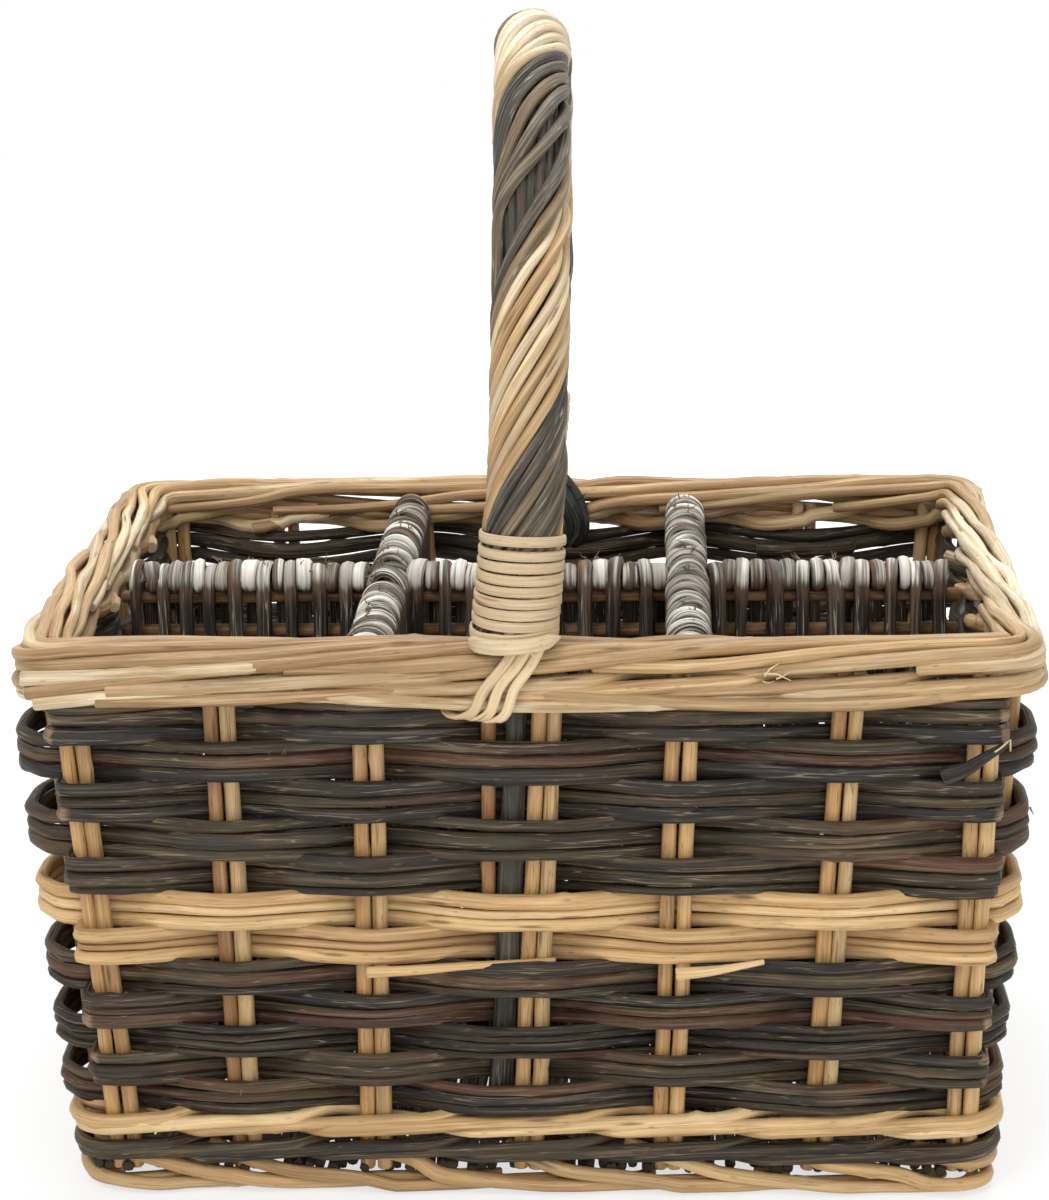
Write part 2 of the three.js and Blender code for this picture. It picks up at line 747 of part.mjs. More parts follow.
// Lash: canes side by side from the binding's foot down outside the rim, under the upper wale and up inside.
// Its path is a list of [across, outwards from the basket's middle, up].
function lashPath(sign) {
  const lift = clearance + lashThickness / 2;
  const bend = lashThickness * lashBendShare;
  const bottom = highWaleBottom + lashThickness / 2;
  const topX = sign > 0 ? lashTopX : lashBackTopX;
  const slope = (topX - lashBottomX) / (rimTop - bottom);
  const across = (z) => lashBottomX + slope * (z - bottom);
  const face = (offset, z) => [across(z), halfY(z) + offset, z];
  const outside = waleOuter + lift;
  const insideWale = -waleInner - lift;
  const insideBorder = -borderInner - lift;
  const under = (offset) => [lashBottomX, halfY(bottom) + offset, bottom];
  return [
    face(outside, rimTop),
    face(outside, bottom + bend),
    under(outside - bend),
    under(insideWale + bend),
    face(insideWale, bottom + bend),
    face(insideWale, highWaleTop - lashThickness - borderInner + waleInner),
    face(insideBorder, highWaleTop - lashThickness),
    face(insideBorder, rimTop - lashTopDrop),
  ];
}

function lashSection() {
  const half = (lashStrands * lashStrandWidth) / 2;
  const low = lashThickness / 2 - lashGroove;
  const section = [];
  for (let k = 0; k < lashStrands; k++) {
    const left = -half + k * lashStrandWidth;
    section.push([left, low]);
    section.push([left + lashStrandWidth / 4, lashThickness / 2]);
    section.push([left + (3 * lashStrandWidth) / 4, lashThickness / 2]);
  }
  section.push([half, low], [half, -lashThickness / 2], [-half, -lashThickness / 2]);
  return section;
}

function lash(sign) {
  const path = lashPath(sign).map(([x, y, z]) => ({ x, flat: new THREE.Vector2(y, z) }));
  const section = lashSection();
  const rings = path.map(({ x, flat }, i) => {
    const before = path[Math.max(i - 1, 0)].flat;
    const after = path[Math.min(i + 1, path.length - 1)].flat;
    const arriving = (i > 0 ? flat.clone().sub(before) : after.clone().sub(flat)).normalize();
    const leaving = (i < path.length - 1 ? after.clone().sub(flat) : arriving.clone()).normalize();
    const along = arriving.clone().add(leaving).normalize();
    const reach = 1 / along.dot(arriving);
    return section.map(([u, v]) => {
      const y = flat.x - along.y * v * reach;
      const z = flat.y + along.x * v * reach;
      return new THREE.Vector3(x + u, -sign * y, z);
    });
  });
  return skin(rings, false);
}

const basket = new THREE.Group();
basket.name = "wine_bottle_basket";

function addPart(parent, name, geometry, finish) {
  const material = new THREE.MeshStandardMaterial({ ...finishes[finish], metalness: 0 });
  geometry.computeVertexNormals();
  const mesh = new THREE.Mesh(geometry, material);
  mesh.name = name;
  parent.add(mesh);
}

const base = new THREE.Group();
addPart(base, "foot_border", footBorder(), "lightRod");
addPart(base, "base_mat", baseMat(), "base");
addPart(base, "base_rail_front", railUnder(-railUnderSpacing / 2), "rail");
addPart(base, "base_rail_back", railUnder(railUnderSpacing / 2), "rail");

const walls = new THREE.Group();
for (const stake of stakes) {
  const name = "stake_pair_" + stake.side + "_" + stake.number;
  addPart(walls, name, stakePrism(stake, pairSection(), stakeBottom, stakeTop), "stake");
}
addPart(walls, "lower_wale_dark", wale(lowWaleDarkBottom, lowWaleDarkTop), "darkRod");
addPart(walls, "lower_wale_light", wale(lowWaleLightBottom, lowWaleLightTop), "lightRod");
for (let row = 0; row < rowCount; row++) {
  const name = "weave_row_" + String(row + 1).padStart(2, "0");
  addPart(walls, name, wovenRow(row), lightRows.includes(row) ? "lightRod" : "darkRod");
}
addPart(walls, "upper_wale", highWale(), "border");
addPart(walls, "top_border", topBorder(), "border");

const dividers = new THREE.Group();
addPart(dividers, "cross_divider_left", crossDivider(-crossDividerX), "divider");
addPart(dividers, "cross_divider_right", crossDivider(crossDividerX), "divider");
for (const bay of ["left", "middle", "right"]) {
  addPart(dividers, "long_divider_" + bay, longDividerBay(bay), "divider");
}
addPart(dividers, "long_rail_top", longRail(longRailZ), "rail");
addPart(dividers, "long_rail_second", longRail(longRailZ - secondRailDrop), "rail");
addPart(dividers, "cross_rail_left", crossRail(-crossDividerX), "rail");
addPart(dividers, "cross_rail_right", crossRail(crossDividerX), "rail");

const handle = new THREE.Group();
addPart(handle, "handle_core", handleCore(), "core");
addPart(handle, "handle_roping_dark", ropingBand(0), "darkRod");
addPart(handle, "handle_roping_light", ropingBand(Math.PI), "border");
for (const [place, sign] of [["front", 1], ["back", -1]]) {
  addPart(handle, "binding_" + place, binding(sign), "cane");
  addPart(handle, "lash_" + place, lash(sign), "cane");
  console.log("binding_" + place + " least gap between turns " + bindingGap(sign).toFixed(2) + " mm");
}

basket.add(base, walls, dividers, handle);

export default basket;
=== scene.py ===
"""Willow carrier for six wine bottles: every rod of the walls, rim, dividers and bow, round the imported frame.

Sizes are in millimetres unless a name says otherwise, and mesh_of turns them into the scene's metres.
+Z is up, +X runs along the long front wall to the right, and the front wall faces -Y.
A wander, such as LUMPS, is the spacing of a rod's bends or lumps, and their amount.
"""

import math
from functools import partial

import bpy
import numpy as np
from mathutils import Matrix, Vector


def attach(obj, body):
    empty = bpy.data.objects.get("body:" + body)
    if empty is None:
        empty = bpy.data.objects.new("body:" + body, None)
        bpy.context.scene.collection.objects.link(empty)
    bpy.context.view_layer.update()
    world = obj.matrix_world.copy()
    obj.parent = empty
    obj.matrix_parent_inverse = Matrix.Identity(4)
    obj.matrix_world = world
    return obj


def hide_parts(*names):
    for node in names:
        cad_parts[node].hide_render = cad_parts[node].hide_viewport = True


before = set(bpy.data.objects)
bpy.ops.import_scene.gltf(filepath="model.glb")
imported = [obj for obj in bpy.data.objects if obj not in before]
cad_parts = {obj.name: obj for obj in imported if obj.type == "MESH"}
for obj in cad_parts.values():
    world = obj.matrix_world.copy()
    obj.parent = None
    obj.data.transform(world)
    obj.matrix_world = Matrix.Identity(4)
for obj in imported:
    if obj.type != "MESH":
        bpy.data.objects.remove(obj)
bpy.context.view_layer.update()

MM = 0.001
random = np.random.default_rng(20)

# Camera

CAMERA_PLACE = (0.0471, -1.1407, 0.5086)
CAMERA_YAW = math.radians(-2.64)
CAMERA_PITCH = math.radians(15.35)
CAMERA_ROLL = math.radians(-0.91)
CAMERA_LENS = 90.97
SENSOR_SIZE = 36.0


def add_camera():
    """The photograph's viewpoint, with the sensor's long side upright."""
    data = bpy.data.cameras.new("camera")
    data.sensor_fit, data.sensor_height, data.lens = "VERTICAL", SENSOR_SIZE, CAMERA_LENS
    camera = bpy.data.objects.new("camera", data)
    bpy.context.collection.objects.link(camera)
    level = math.cos(CAMERA_PITCH)
    forward = Vector((math.sin(CAMERA_YAW) * level, math.cos(CAMERA_YAW) * level, -math.sin(CAMERA_PITCH)))
    right = Vector((math.cos(CAMERA_YAW), -math.sin(CAMERA_YAW), 0))
    up = right.cross(forward)
    rolled_right = right * math.cos(CAMERA_ROLL) + up * math.sin(CAMERA_ROLL)
    rolled_up = up * math.cos(CAMERA_ROLL) - right * math.sin(CAMERA_ROLL)
    turn = Matrix((rolled_right, rolled_up, -forward)).transposed().to_4x4()
    camera.matrix_world = Matrix.Translation(CAMERA_PLACE) @ turn
    bpy.context.scene.camera = camera


# Basket's shape

BASE_HALF_X = 163.7
BASE_HALF_Y = 112.7
WALL_LEAN = 0.055
RIM_TOP = 214.98

LONG_FOOT_SHARES = (-0.919, -0.648, -0.357, 0, 0.299, 0.633, 0.955)
LONG_TOP_SHARES = (-0.93, -0.622, -0.316, 0, 0.318, 0.653, 0.92)
SHORT_SHARES = (-0.757, -0.38, 0, 0.38, 0.757)
MIDDLE_STAKE_FOOT_X = -3
MIDDLE_STAKE_TOP_X = 9

STAKE_RADIUS = 2.85
LEG_RADIUS = 3.9
LEG_SHIFT = 11.2

LOW_WALE_DARK = (12.2, 22.7)
LOW_WALE_LIGHT = (22.7, 33.6)
HIGH_WALE = (193.0, 204.6)
ROW_COUNT = 12
LOWEST_ROW_BOTTOM = 33.9
LOWEST_ROW_HEIGHT = 10.8
ROW_GAP = 0.35
ROW_GROWTH = 0.405
LIGHT_ROWS = (5, 6)


def half_x(z):
    return BASE_HALF_X + WALL_LEAN * z


def half_y(z):
    return BASE_HALF_Y + WALL_LEAN * z


def middle_stake_x(z):
    return MIDDLE_STAKE_FOOT_X + (MIDDLE_STAKE_TOP_X - MIDDLE_STAKE_FOOT_X) * (z / RIM_TOP)


def row_levels(row):
    """Bottom and top of a woven row, counted from the top one."""
    from_bottom = ROW_COUNT - 1 - row
    grown = ROW_GROWTH * from_bottom * (from_bottom - 1) / 2
    bottom = LOWEST_ROW_BOTTOM + from_bottom * (LOWEST_ROW_HEIGHT + ROW_GAP) + grown
    return bottom, bottom + LOWEST_ROW_HEIGHT + ROW_GROWTH * from_bottom


class Stake:
    """A pair of upright rods: its wall, its number along that wall, and where it stands."""

    def __init__(self, side, number, foot, top, along, out):
        self.side, self.number, self.foot, self.top = side, number, foot, top
        self.along, self.out = np.array(along, float), np.array(out, float)
        self.on_long_wall = out[1] != 0
        self.middle = self.on_long_wall and foot == 0

    def place(self, z):
        """Plan position of the pair's middle at a height."""
        climb = z / RIM_TOP
        half = half_x if self.on_long_wall else half_y
        reach = (1 - climb) * self.foot * half(0) + climb * self.top * half(RIM_TOP)
        if not self.on_long_wall:
            return np.array((self.out[0] * half_x(z), self.along[1] * reach))
        x = middle_stake_x(z) if self.middle else self.along[0] * reach
        return np.array((x, self.out[1] * half_y(z)))


STAKES = [
    Stake(side, i + 1, foot, top, along, out)
    for side, foots, tops, along, out in (
        ("front", LONG_FOOT_SHARES, LONG_TOP_SHARES, (1, 0), (0, -1)),
        ("right", SHORT_SHARES, SHORT_SHARES, (0, 1), (1, 0)),
        ("back", LONG_FOOT_SHARES, LONG_TOP_SHARES, (-1, 0), (0, 1)),
        ("left", SHORT_SHARES, SHORT_SHARES, (0, -1), (-1, 0)),
    )
    for i, (foot, top) in enumerate(zip(foots, tops))
]

# Paths

CURVE_STEPS = 12


def smooth_step(value):
    value = np.clip(value, 0, 1)
    return value * value * (3 - 2 * value)


def unit(vectors):
    return vectors / np.linalg.norm(vectors, axis=-1)[..., None]


def lengths_along(path):
    """Distance of each point of a path from its start."""
    return np.concatenate(([0], np.cumsum(np.linalg.norm(np.diff(path, axis=0), axis=1))))


def between(wanted, along, points):
    """The points of a path at wanted distances along it."""
    return np.stack([np.interp(wanted, along, column) for column in points.T], axis=-1)


def wander(along, spacing, amount):
    """Random offsets along a rod: nearly straight stretches, with bends about a spacing apart."""
    knots = max(int((along[-1] - along[0]) / spacing) + 2, 3)
    places = np.linspace(along[0], along[-1], knots)
    places[1:-1] += random.uniform(-0.3, 0.3, knots - 2) * (places[1] - places[0])
    return amount * np.interp(along, places, random.uniform(-1, 1, knots))


def closed_wander(count, step, spacing, amount):
    """Random offsets along a closed path of evenly spaced points."""
    knots = max(int(count * step / spacing), 3)
    values = random.uniform(-1, 1, knots)
    places = np.arange(count) * knots / count
    return amount * np.interp(places, np.arange(knots + 1), np.append(values, values[0]))


def softened(values, passes=1):
    """A path or row of numbers with its bends rounded a little, ends kept."""
    values = np.array(values, float)
    for _ in range(passes):
        values[1:-1] = (values[:-2] + 2 * values[1:-1] + values[2:]) / 4
    return values


def soft_wander(along, spacing, amount, passes=1):
    return softened(wander(along, spacing, amount), passes)


def resampled(points, step):
    """A path with its points a step apart."""
    points = np.asarray(points, float)
    along = lengths_along(points)
    count = max(int(round(along[-1] / step)), 3) + 1
    return between(np.linspace(0, along[-1], count), along, points)


def curve_through(points, step):
    """A smooth path through a few points, by Catmull and Rom's rule."""
    points = np.asarray(points, float)
    ends = np.vstack((2 * points[0] - points[1], points, 2 * points[-1] - points[-2]))
    pieces = []
    t = np.linspace(0, 1, CURVE_STEPS + 1)[:-1, None]
    for a, b, c, d in zip(ends, ends[1:], ends[2:], ends[3:]):
        cubic = (3 * b - a - 3 * c + d) * t ** 3
        pieces.append(0.5 * (2 * b + (c - a) * t + (2 * a - 5 * b + 4 * c - d) * t ** 2 + cubic))
    return resampled(np.vstack(pieces + [points[-1:]]), step)


# Rods as meshes

GRAIN_RADIUS = 2.8
GRAIN_RANGE = 3000
LUMPS = (12, 0.05)
SWELLS = (38, 0.06)
TWIST = (55, 1.5)
FACETS = (48, 0.085)
OVAL = 0.06
THREE_SIDED = 0.03
BUD_SPACING = 46
BUD_LENGTH = 2.1
BUD_HEIGHT = 0.26
SHOULDER = 0.25
SHOULDER_SHRINK = 0.8
ROD_SHADES = (0.80, 1.14)


class Rod:
    """One willow rod: a path, its half width and half thickness, and what its surface looks like.

    Thickness is measured towards up, and width across it. rough scales the lumps and buds of real growth.
    """

    def __init__(self, path, wide, thick, tone, up=(0, 0, 1), sides=8, square=1.0, worn=0.0, rough=1.0):
        self.path = np.asarray(path, float)
        count = len(self.path)
        self.wide, self.thick, self.tone, self.worn = (
            np.broadcast_to(np.asarray(values, float), (count,)) for values in (wide, thick, tone, worn))
        self.up = np.broadcast_to(np.asarray(up, float), (count, 3))
        self.sides, self.square, self.rough = sides, square, rough

    def growth(self, along, angle):
        """How far the surface stands out at each ring and angle, as a share of the radius."""
        swell = 1 + self.rough * (wander(along, *LUMPS) + wander(along, *SWELLS))
        twist = wander(along, *TWIST)[:, None]
        oval = OVAL * np.cos(2 * (angle - twist)) + THREE_SIDED * np.cos(3 * (angle + twist))
        facets = np.stack([wander(along, *FACETS) for _ in range(self.sides)], axis=1)
        scale = swell[:, None] * (1 + self.rough * (oval + facets))
        buds = int(along[-1] / BUD_SPACING * self.rough)
        for place, facing in zip(random.uniform(0, along[-1], buds), random.uniform(0, 2 * np.pi, buds)):
            near = np.exp(-((along - place) / BUD_LENGTH) ** 2)[:, None]
            scale = scale + BUD_HEIGHT * near * np.clip(np.cos(angle - facing), 0, 1) ** 2
        return scale

    def rings(self):
        """Points, grain places, wear and tone of the rod's rings, with a rounded shoulder at each cut end."""
        tangent = unit(np.gradient(self.path, axis=0))
        side = unit(np.cross(tangent, self.up))
        normal = np.cross(side, tangent)
        angle = 2 * np.pi * np.arange(self.sides) / self.sides
        across, outward = (
            np.sign(part) * np.abs(part) ** self.square for part in (np.cos(angle), np.sin(angle)))
        along = lengths_along(self.path)
        scale = self.growth(along, angle[None])
        offset = side[:, None] * (across * self.wide[:, None] * scale)[..., None]
        offset = offset + normal[:, None] * (outward * self.thick[:, None] * scale)[..., None]
        shoulder = SHOULDER * self.thick
        first = self.path[0] - tangent[0] * shoulder[0] + offset[0] * SHOULDER_SHRINK
        last = self.path[-1] + tangent[-1] * shoulder[-1] + offset[-1] * SHOULDER_SHRINK
        points = np.concatenate((first[None], self.path[:, None] + offset, last[None]))
        along = np.concatenate(([along[0] - shoulder[0]], along, [along[-1] + shoulder[-1]]))
        around = GRAIN_RADIUS * across[None], GRAIN_RADIUS * outward[None]
        grain = np.stack(np.broadcast_arrays(along[:, None], *around), axis=2)
        return points, grain, np.pad(self.worn, 1, constant_values=1.0), np.pad(self.tone, 1, mode="edge")


def mesh_of(name, rods):
    """One mesh of many rods, with the attributes that the willow materials read."""
    vertices, faces = [], []
    values = {"grain": [], "tone": [], "worn": [], "shade": []}
    start = 0
    for rod in rods:
        points, grain, worn, tone = rod.rings()
        rings, sides = points.shape[:2]
        vertices.append(points.reshape(-1, 3))
        values["grain"].append((grain + random.uniform(0, GRAIN_RANGE, 3)).reshape(-1, 3) * MM)
        values["tone"].append(np.repeat(tone, sides))
        values["worn"].append(np.repeat(worn, sides))
        values["shade"].append(np.full(rings * sides, random.uniform(*ROD_SHADES)))
        a = start + np.arange((rings - 1) * sides).reshape(rings - 1, sides)
        b = np.roll(a, -1, axis=1)
        faces.extend(np.stack((a, b, b + sides, a + sides), axis=2).reshape(-1, 4).tolist())
        faces.append((start + np.arange(sides))[::-1].tolist())
        faces.append((start + (rings - 1) * sides + np.arange(sides)).tolist())
        start += rings * sides
    mesh = bpy.data.meshes.new(name)
    mesh.from_pydata(np.vstack(vertices) * MM, [], faces)
    for kind, parts in values.items():
        of_vectors = kind == "grain"
        attribute = mesh.attributes.new(kind, "FLOAT_VECTOR" if of_vectors else "FLOAT", "POINT")
        flat = np.concatenate(parts).astype(np.float32).ravel()
        attribute.data.foreach_set("vector" if of_vectors else "value", flat)
    mesh.polygons.foreach_set("use_smooth", [len(face) == 4 for face in faces])
    mesh.update()
    return mesh


def add_piece(name, rods, finish, cad_node):
    """A piece of the basket that stands for a CAD node, with the loose rods that lie on it."""
    material, slot = finish
    loose = [wall_rod(points, sizes, tone) for tone, sizes, *points in LOOSE_RODS.get(name, ())]
    piece = bpy.data.objects.new(name, mesh_of(name, rods + loose))
    bpy.context.collection.objects.link(piece)
    piece.data.materials.append(material)
    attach(piece, "root")
    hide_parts(cad_node)


# Loose rods and torn fibres

LOOSE_ROD_STEP = 2.5
RIM_ROD = (2.65, 2.2)
LOOSE_RODS = {
    "stake_rods_front_4": (
        (0.05, (2.4, 2.2), (-13.0, 0.3, 198), (-13.3, 0.0, 182), (-14.0, 0.2, 150), (-14.6, 0.0, 118)),
    ),
    "woven_rods_02": (
        (0.15, (3.2, 1.2), (147, 6.5, 166), (154, 9.0, 169.5), (160, 10.2, 174), (167, 9.0, 178)),
    ),
    "woven_rods_07": (
        (0.5, (2.2, 1.3), (-58, 10.8, 91.9), (-40, 10.4, 92.6), (-20, 8.5, 93.6), (9, 3.5, 93.6)),
        (0.8, (2.5, 1.0), (53, 10.8, 91.4), (66, 10.0, 92.4), (84, 5.5, 94)),
    ),
    "wale_rods_high": (
        (0.9, (0.45, 0.3), (158, 9.5, 172), (166, 11.0, 178.5), (168.5, 10, 181), (169, 8.5, 176)),
        (0.85, RIM_ROD, (-176, 8.3, 203.5), (-150, 8.8, 204.5), (-110, 8.2, 206.5), (-70, 4.6, 208.0)),
        (0.35, RIM_ROD, (-175, 8.6, 198.3), (-155, 9.4, 201.3), (-125, 8.5, 204.8), (-90, 4.2, 206.5)),
        (0.95, RIM_ROD, (-172, 8.8, 194.4), (-145, 9.4, 197.3), (-110, 9.0, 200.0), (-75, 4.4, 201.5)),
        (0.7, RIM_ROD, (-146, 9.9, 199.2), (-110, 9.6, 200.6), (-60, 8.8, 203.0), (-30, 4.8, 204.0)),
        (0.1, RIM_ROD, (-150, 9.4, 195.2), (-110, 9.2, 196.0), (-60, 8.6, 198.0), (-25, 4.5, 199.5)),
        (0.8, RIM_ROD, (-110, 4.6, 200.0), (-65, 8.8, 196.6), (-10, 9.3, 193.4), (45, 8.8, 193.4),
         (95, 4.4, 196.5)),
        (0.5, RIM_ROD, (-22, 4.6, 198.5), (20, 8.6, 196.4), (70, 9.3, 193.6), (120, 8.8, 193.8),
         (160, 4.6, 197.0)),
    ),
}
SLIVER_LENGTHS = (0.5, 1.2)
SLIVER_SIZES = (0.6, 1.2)
SLIVER_TAPER = (0.42, 0.12)
SLIVER_STRAY = 0.3
SLIVER_BEND = 0.45


def wall_rod(points, sizes, tone):
    """A loose rod on the front wall, through points of (x, outwards, height), with its size at each end."""
    path = curve_through([(x, -half_y(z) - out, z) for x, out, z in points], LOOSE_ROD_STEP)
    size = np.linspace(*sizes, len(path))
    return Rod(path, size, size * 0.8, tone, up=(0, -1, 0), sides=8)


def slivers(place, towards, count, length, spread=2.0, tone=0.8, worn=0.9):
    """Torn fibres that stand off a cracked or cut place, each a thin tapering rod with a bend."""
    place, towards = np.asarray(place, float), np.asarray(towards, float)
    towards /= np.linalg.norm(towards)
    rods = []
    for _ in range(count):
        start = place + random.normal(size=3) * spread * 0.5
        reach = length * random.uniform(*SLIVER_LENGTHS)
        heading = towards + random.normal(size=3) * SLIVER_STRAY
        bend = start + heading * reach * 0.5 + random.normal(size=3) * 0.5
        end = bend + (heading + random.normal(size=3) * SLIVER_BEND) * reach * 0.5
        path = resampled([start, bend, end], reach / 5)
        taper = np.linspace(*SLIVER_TAPER, len(path)) * random.uniform(*SLIVER_SIZES)
        up = np.cross(heading, random.normal(size=3))
        rods.append(Rod(path, taper, taper, tone, up=up, sides=5, worn=worn, rough=0))
    return rods


# Willow materials

MIX_FACTOR, MIX_FIRST, MIX_SECOND, MIX_RESULT = 0, 6, 7, 2
MARKS = ("Streaks", "Blotches", "Fibres", "Lines", "Knots", "Freckles", "Height")
HEIGHT_OF_STREAKS = 0.8
HEIGHT_OF_FIBRES = 0.3
HEIGHT_OF_RIDGES = 0.3
HEIGHT_OF_LINES = -0.28
HEIGHT_OF_KNOTS = 0.45
BUMP_DISTANCE = 0.0008
KNOT_SHARE = 0.75
FRECKLE_SHARE = 0.35
WORN_AT = (0.8, 1.15)


def feed(tree, socket, value):
    """Links another node's output to a socket, or sets the socket's own value."""
    if isinstance(value, bpy.types.NodeSocket):
        tree.links.new(value, socket)
    else:
        socket.default_value = value


def node(tree, kind, values=None, **settings):
    """A node with its settings, and its sockets fed by name or number."""
    made = tree.nodes.new(kind)
    for key, value in settings.items():
        setattr(made, key, value)
    for key, value in (values or {}).items():
        feed(tree, made.inputs[key], value)
    return made


def stretched(tree, vector, factors):
    """A place scaled by one factor along a rod and another round it."""
    along, around = factors
    scale = {0: vector, 1: (along, around, around)}
    return node(tree, "ShaderNodeVectorMath", scale, operation="MULTIPLY").outputs["Vector"]


def noise(tree, vector, factors, detail=3.0, roughness=0.55):
    place = stretched(tree, vector, factors)
    values = {"Vector": place, "Scale": 1.0, "Detail": detail, "Roughness": roughness}
    return node(tree, "ShaderNodeTexNoise", values).outputs["Fac"]


def spots(tree, vector, factors, size, edge):
    """Small scattered marks, 1 inside and 0 outside."""
    values = {"Vector": stretched(tree, vector, factors), "Scale": 1.0, "Randomness": 1.0}
    distance = node(tree, "ShaderNodeTexVoronoi", values).outputs["Distance"]
    return band(tree, distance, size, size + edge, 1.0, 0.0)


def band(tree, value, low, high, out_low=0.0, out_high=1.0):
    """Maps a value's range to another, clamped, with soft ends."""
    values = {"Value": value, "From Min": low, "From Max": high, "To Min": out_low, "To Max": out_high}
    return node(tree, "ShaderNodeMapRange", values, interpolation_type="SMOOTHSTEP").outputs["Result"]


def math_of(tree, operation, *values):
    return node(tree, "ShaderNodeMath", dict(enumerate(values)), operation=operation).outputs["Value"]


def mixed(tree, factor, first, second, blend="MIX"):
    """A colour from two, each of them plain or another node's output."""
    first, second = ((*colour, 1) if isinstance(colour, tuple) else colour for colour in (first, second))
    values = {MIX_FACTOR: factor, MIX_FIRST: first, MIX_SECOND: second}
    return node(tree, "ShaderNodeMix", values, data_type="RGBA", blend_type=blend).outputs[MIX_RESULT]


def grey_of(tree, value):
    return node(tree, "ShaderNodeCombineColor", dict.fromkeys(range(3), value)).outputs["Color"]


def ramp(tree, value, stops):
    made = node(tree, "ShaderNodeValToRGB", {"Fac": value})
    elements = made.color_ramp.elements
    while len(elements) < len(stops):
        elements.new(0.5)
    for element, (position, colour) in zip(elements, stops):
        element.position, element.color = position, (*colour, 1)
    return made.outputs["Color"]


def grain_group():
    """Marks along a rod: streaks, blotches, fibres, thin lines (cracks, and on the woven rows' dark bark also
    painted highlight lines), knots, freckles, and their height.
    """
    group = bpy.data.node_groups.new("willow grain", "ShaderNodeTree")
    group.interface.new_socket("Grain", in_out="INPUT", socket_type="NodeSocketVector")
    for name in MARKS:
        group.interface.new_socket(name, in_out="OUTPUT", socket_type="NodeSocketFloat")
    vector = node(group, "NodeGroupInput").outputs["Grain"]
    streaks = noise(group, vector, (21, 860), 4.0, 0.6)
    blotches = noise(group, vector, (19, 130), 3.0, 0.6)
    fibres = noise(group, vector, (70, 2300), 3.0, 0.65)
    contour = noise(group, vector, (13, 430), 2.0, 0.5)
    off_contour = math_of(group, "ABSOLUTE", math_of(group, "SUBTRACT", contour, 0.5))
    lines = band(group, off_contour, 0.004, 0.016, 1.0, 0.0)
    knots = spots(group, vector, (24, 170), 0.05, 0.13)
    freckles = spots(group, vector, (95, 300), 0.06, 0.12)
    ridges = noise(group, vector, (150, 420), 2.0, 0.5)
    height = math_of(group, "MULTIPLY", streaks, HEIGHT_OF_STREAKS)
    for mark, share in ((fibres, HEIGHT_OF_FIBRES), (ridges, HEIGHT_OF_RIDGES), (lines, HEIGHT_OF_LINES),
                        (knots, HEIGHT_OF_KNOTS)):
        height = math_of(group, "MULTIPLY_ADD", mark, share, height)
    marks = streaks, blotches, fibres, lines, knots, freckles, height
    node(group, "NodeGroupOutput", dict(zip(MARKS, marks)))
    return group


GRAIN = grain_group()


def new_material(name):
    material = bpy.data.materials.new(name)
    material.use_nodes = True
    return material, material.node_tree


def set_shader(tree, values):
    for name, value in values.items():
        feed(tree, tree.nodes["Principled BSDF"].inputs[name], value)


def finish(name, tones, streak, blotch, line, worn, knot, roughness, bump, drift=0.2, shade=(0.62, 1.25),
           top=None, speck=None, gloss=0.3, slot=None):
    """A material for one kind of rod, with the CAD slot that it stands for.

    streak, blotch and line are each a colour, and how much of it shows. top may repaint the highest places.
    """
    material, tree = new_material(name)
    grain, own_tone, wear, own_shade = (
        node(tree, "ShaderNodeAttribute", attribute_name=kind).outputs
        for kind in ("grain", "tone", "worn", "shade"))
    marks = node(tree, "ShaderNodeGroup", {"Grain": grain["Vector"]}, node_tree=GRAIN).outputs
    shifted = math_of(tree, "ADD", own_tone["Fac"], band(tree, marks["Blotches"], 0.3, 0.7, -drift, drift))
    colour = ramp(tree, shifted, tones)
    for mark, low, (paint, share) in (("Blotches", 0.5, blotch), ("Streaks", 0.52, streak)):
        colour = mixed(tree, band(tree, marks[mark], low, 0.66, 0.0, share), colour, paint)
    dark = math_of(tree, "MULTIPLY", own_shade["Fac"], band(tree, marks["Streaks"], 0.28, 0.62, *shade))
    dark = math_of(tree, "MULTIPLY", dark, band(tree, marks["Fibres"], 0.25, 0.75, 0.86, 1.12))
    colour = mixed(tree, 1.0, colour, grey_of(tree, dark), "MULTIPLY")
    for mark, (paint, share) in (("Lines", line), ("Knots", (knot, KNOT_SHARE)),
                                 ("Freckles", (speck or knot, FRECKLE_SHARE))):
        colour = mixed(tree, math_of(tree, "MULTIPLY", marks[mark], share), colour, paint)
    if top:
        colour = top(tree, colour, marks, own_tone["Fac"])
    ragged = math_of(tree, "MULTIPLY_ADD", marks["Streaks"], 0.7, wear["Fac"])
    lift = {"Strength": bump, "Distance": BUMP_DISTANCE, "Height": marks["Height"]}
    set_shader(tree, {
        "Base Color": mixed(tree, band(tree, ragged, *WORN_AT), colour, worn),
        "Roughness": band(tree, marks["Streaks"], 0.3, 0.7, *roughness),
        "Specular IOR Level": gloss,
        "Normal": node(tree, "ShaderNodeBump", lift).outputs["Normal"],
    })
    return material, slot or name.replace(" ", "_")


RAGGED_BY_BLOTCHES = 0.020
RAGGED_BY_STREAKS = 0.006
BROWN_HEIGHTS = (0.207, 0.214)
GREY_HEIGHTS = (0.2155, 0.2195)
CRACKED_GREY = ((0.42, (0.018, 0.015, 0.011)), (0.49, (0.24, 0.222, 0.178)), (0.56, (0.85, 0.81, 0.72)))
TOP_BROWN = (0.17, 0.105, 0.065)
TOP_DARK = (0.030, 0.022, 0.016)
TOP_ORANGE = (0.28, 0.125, 0.04)


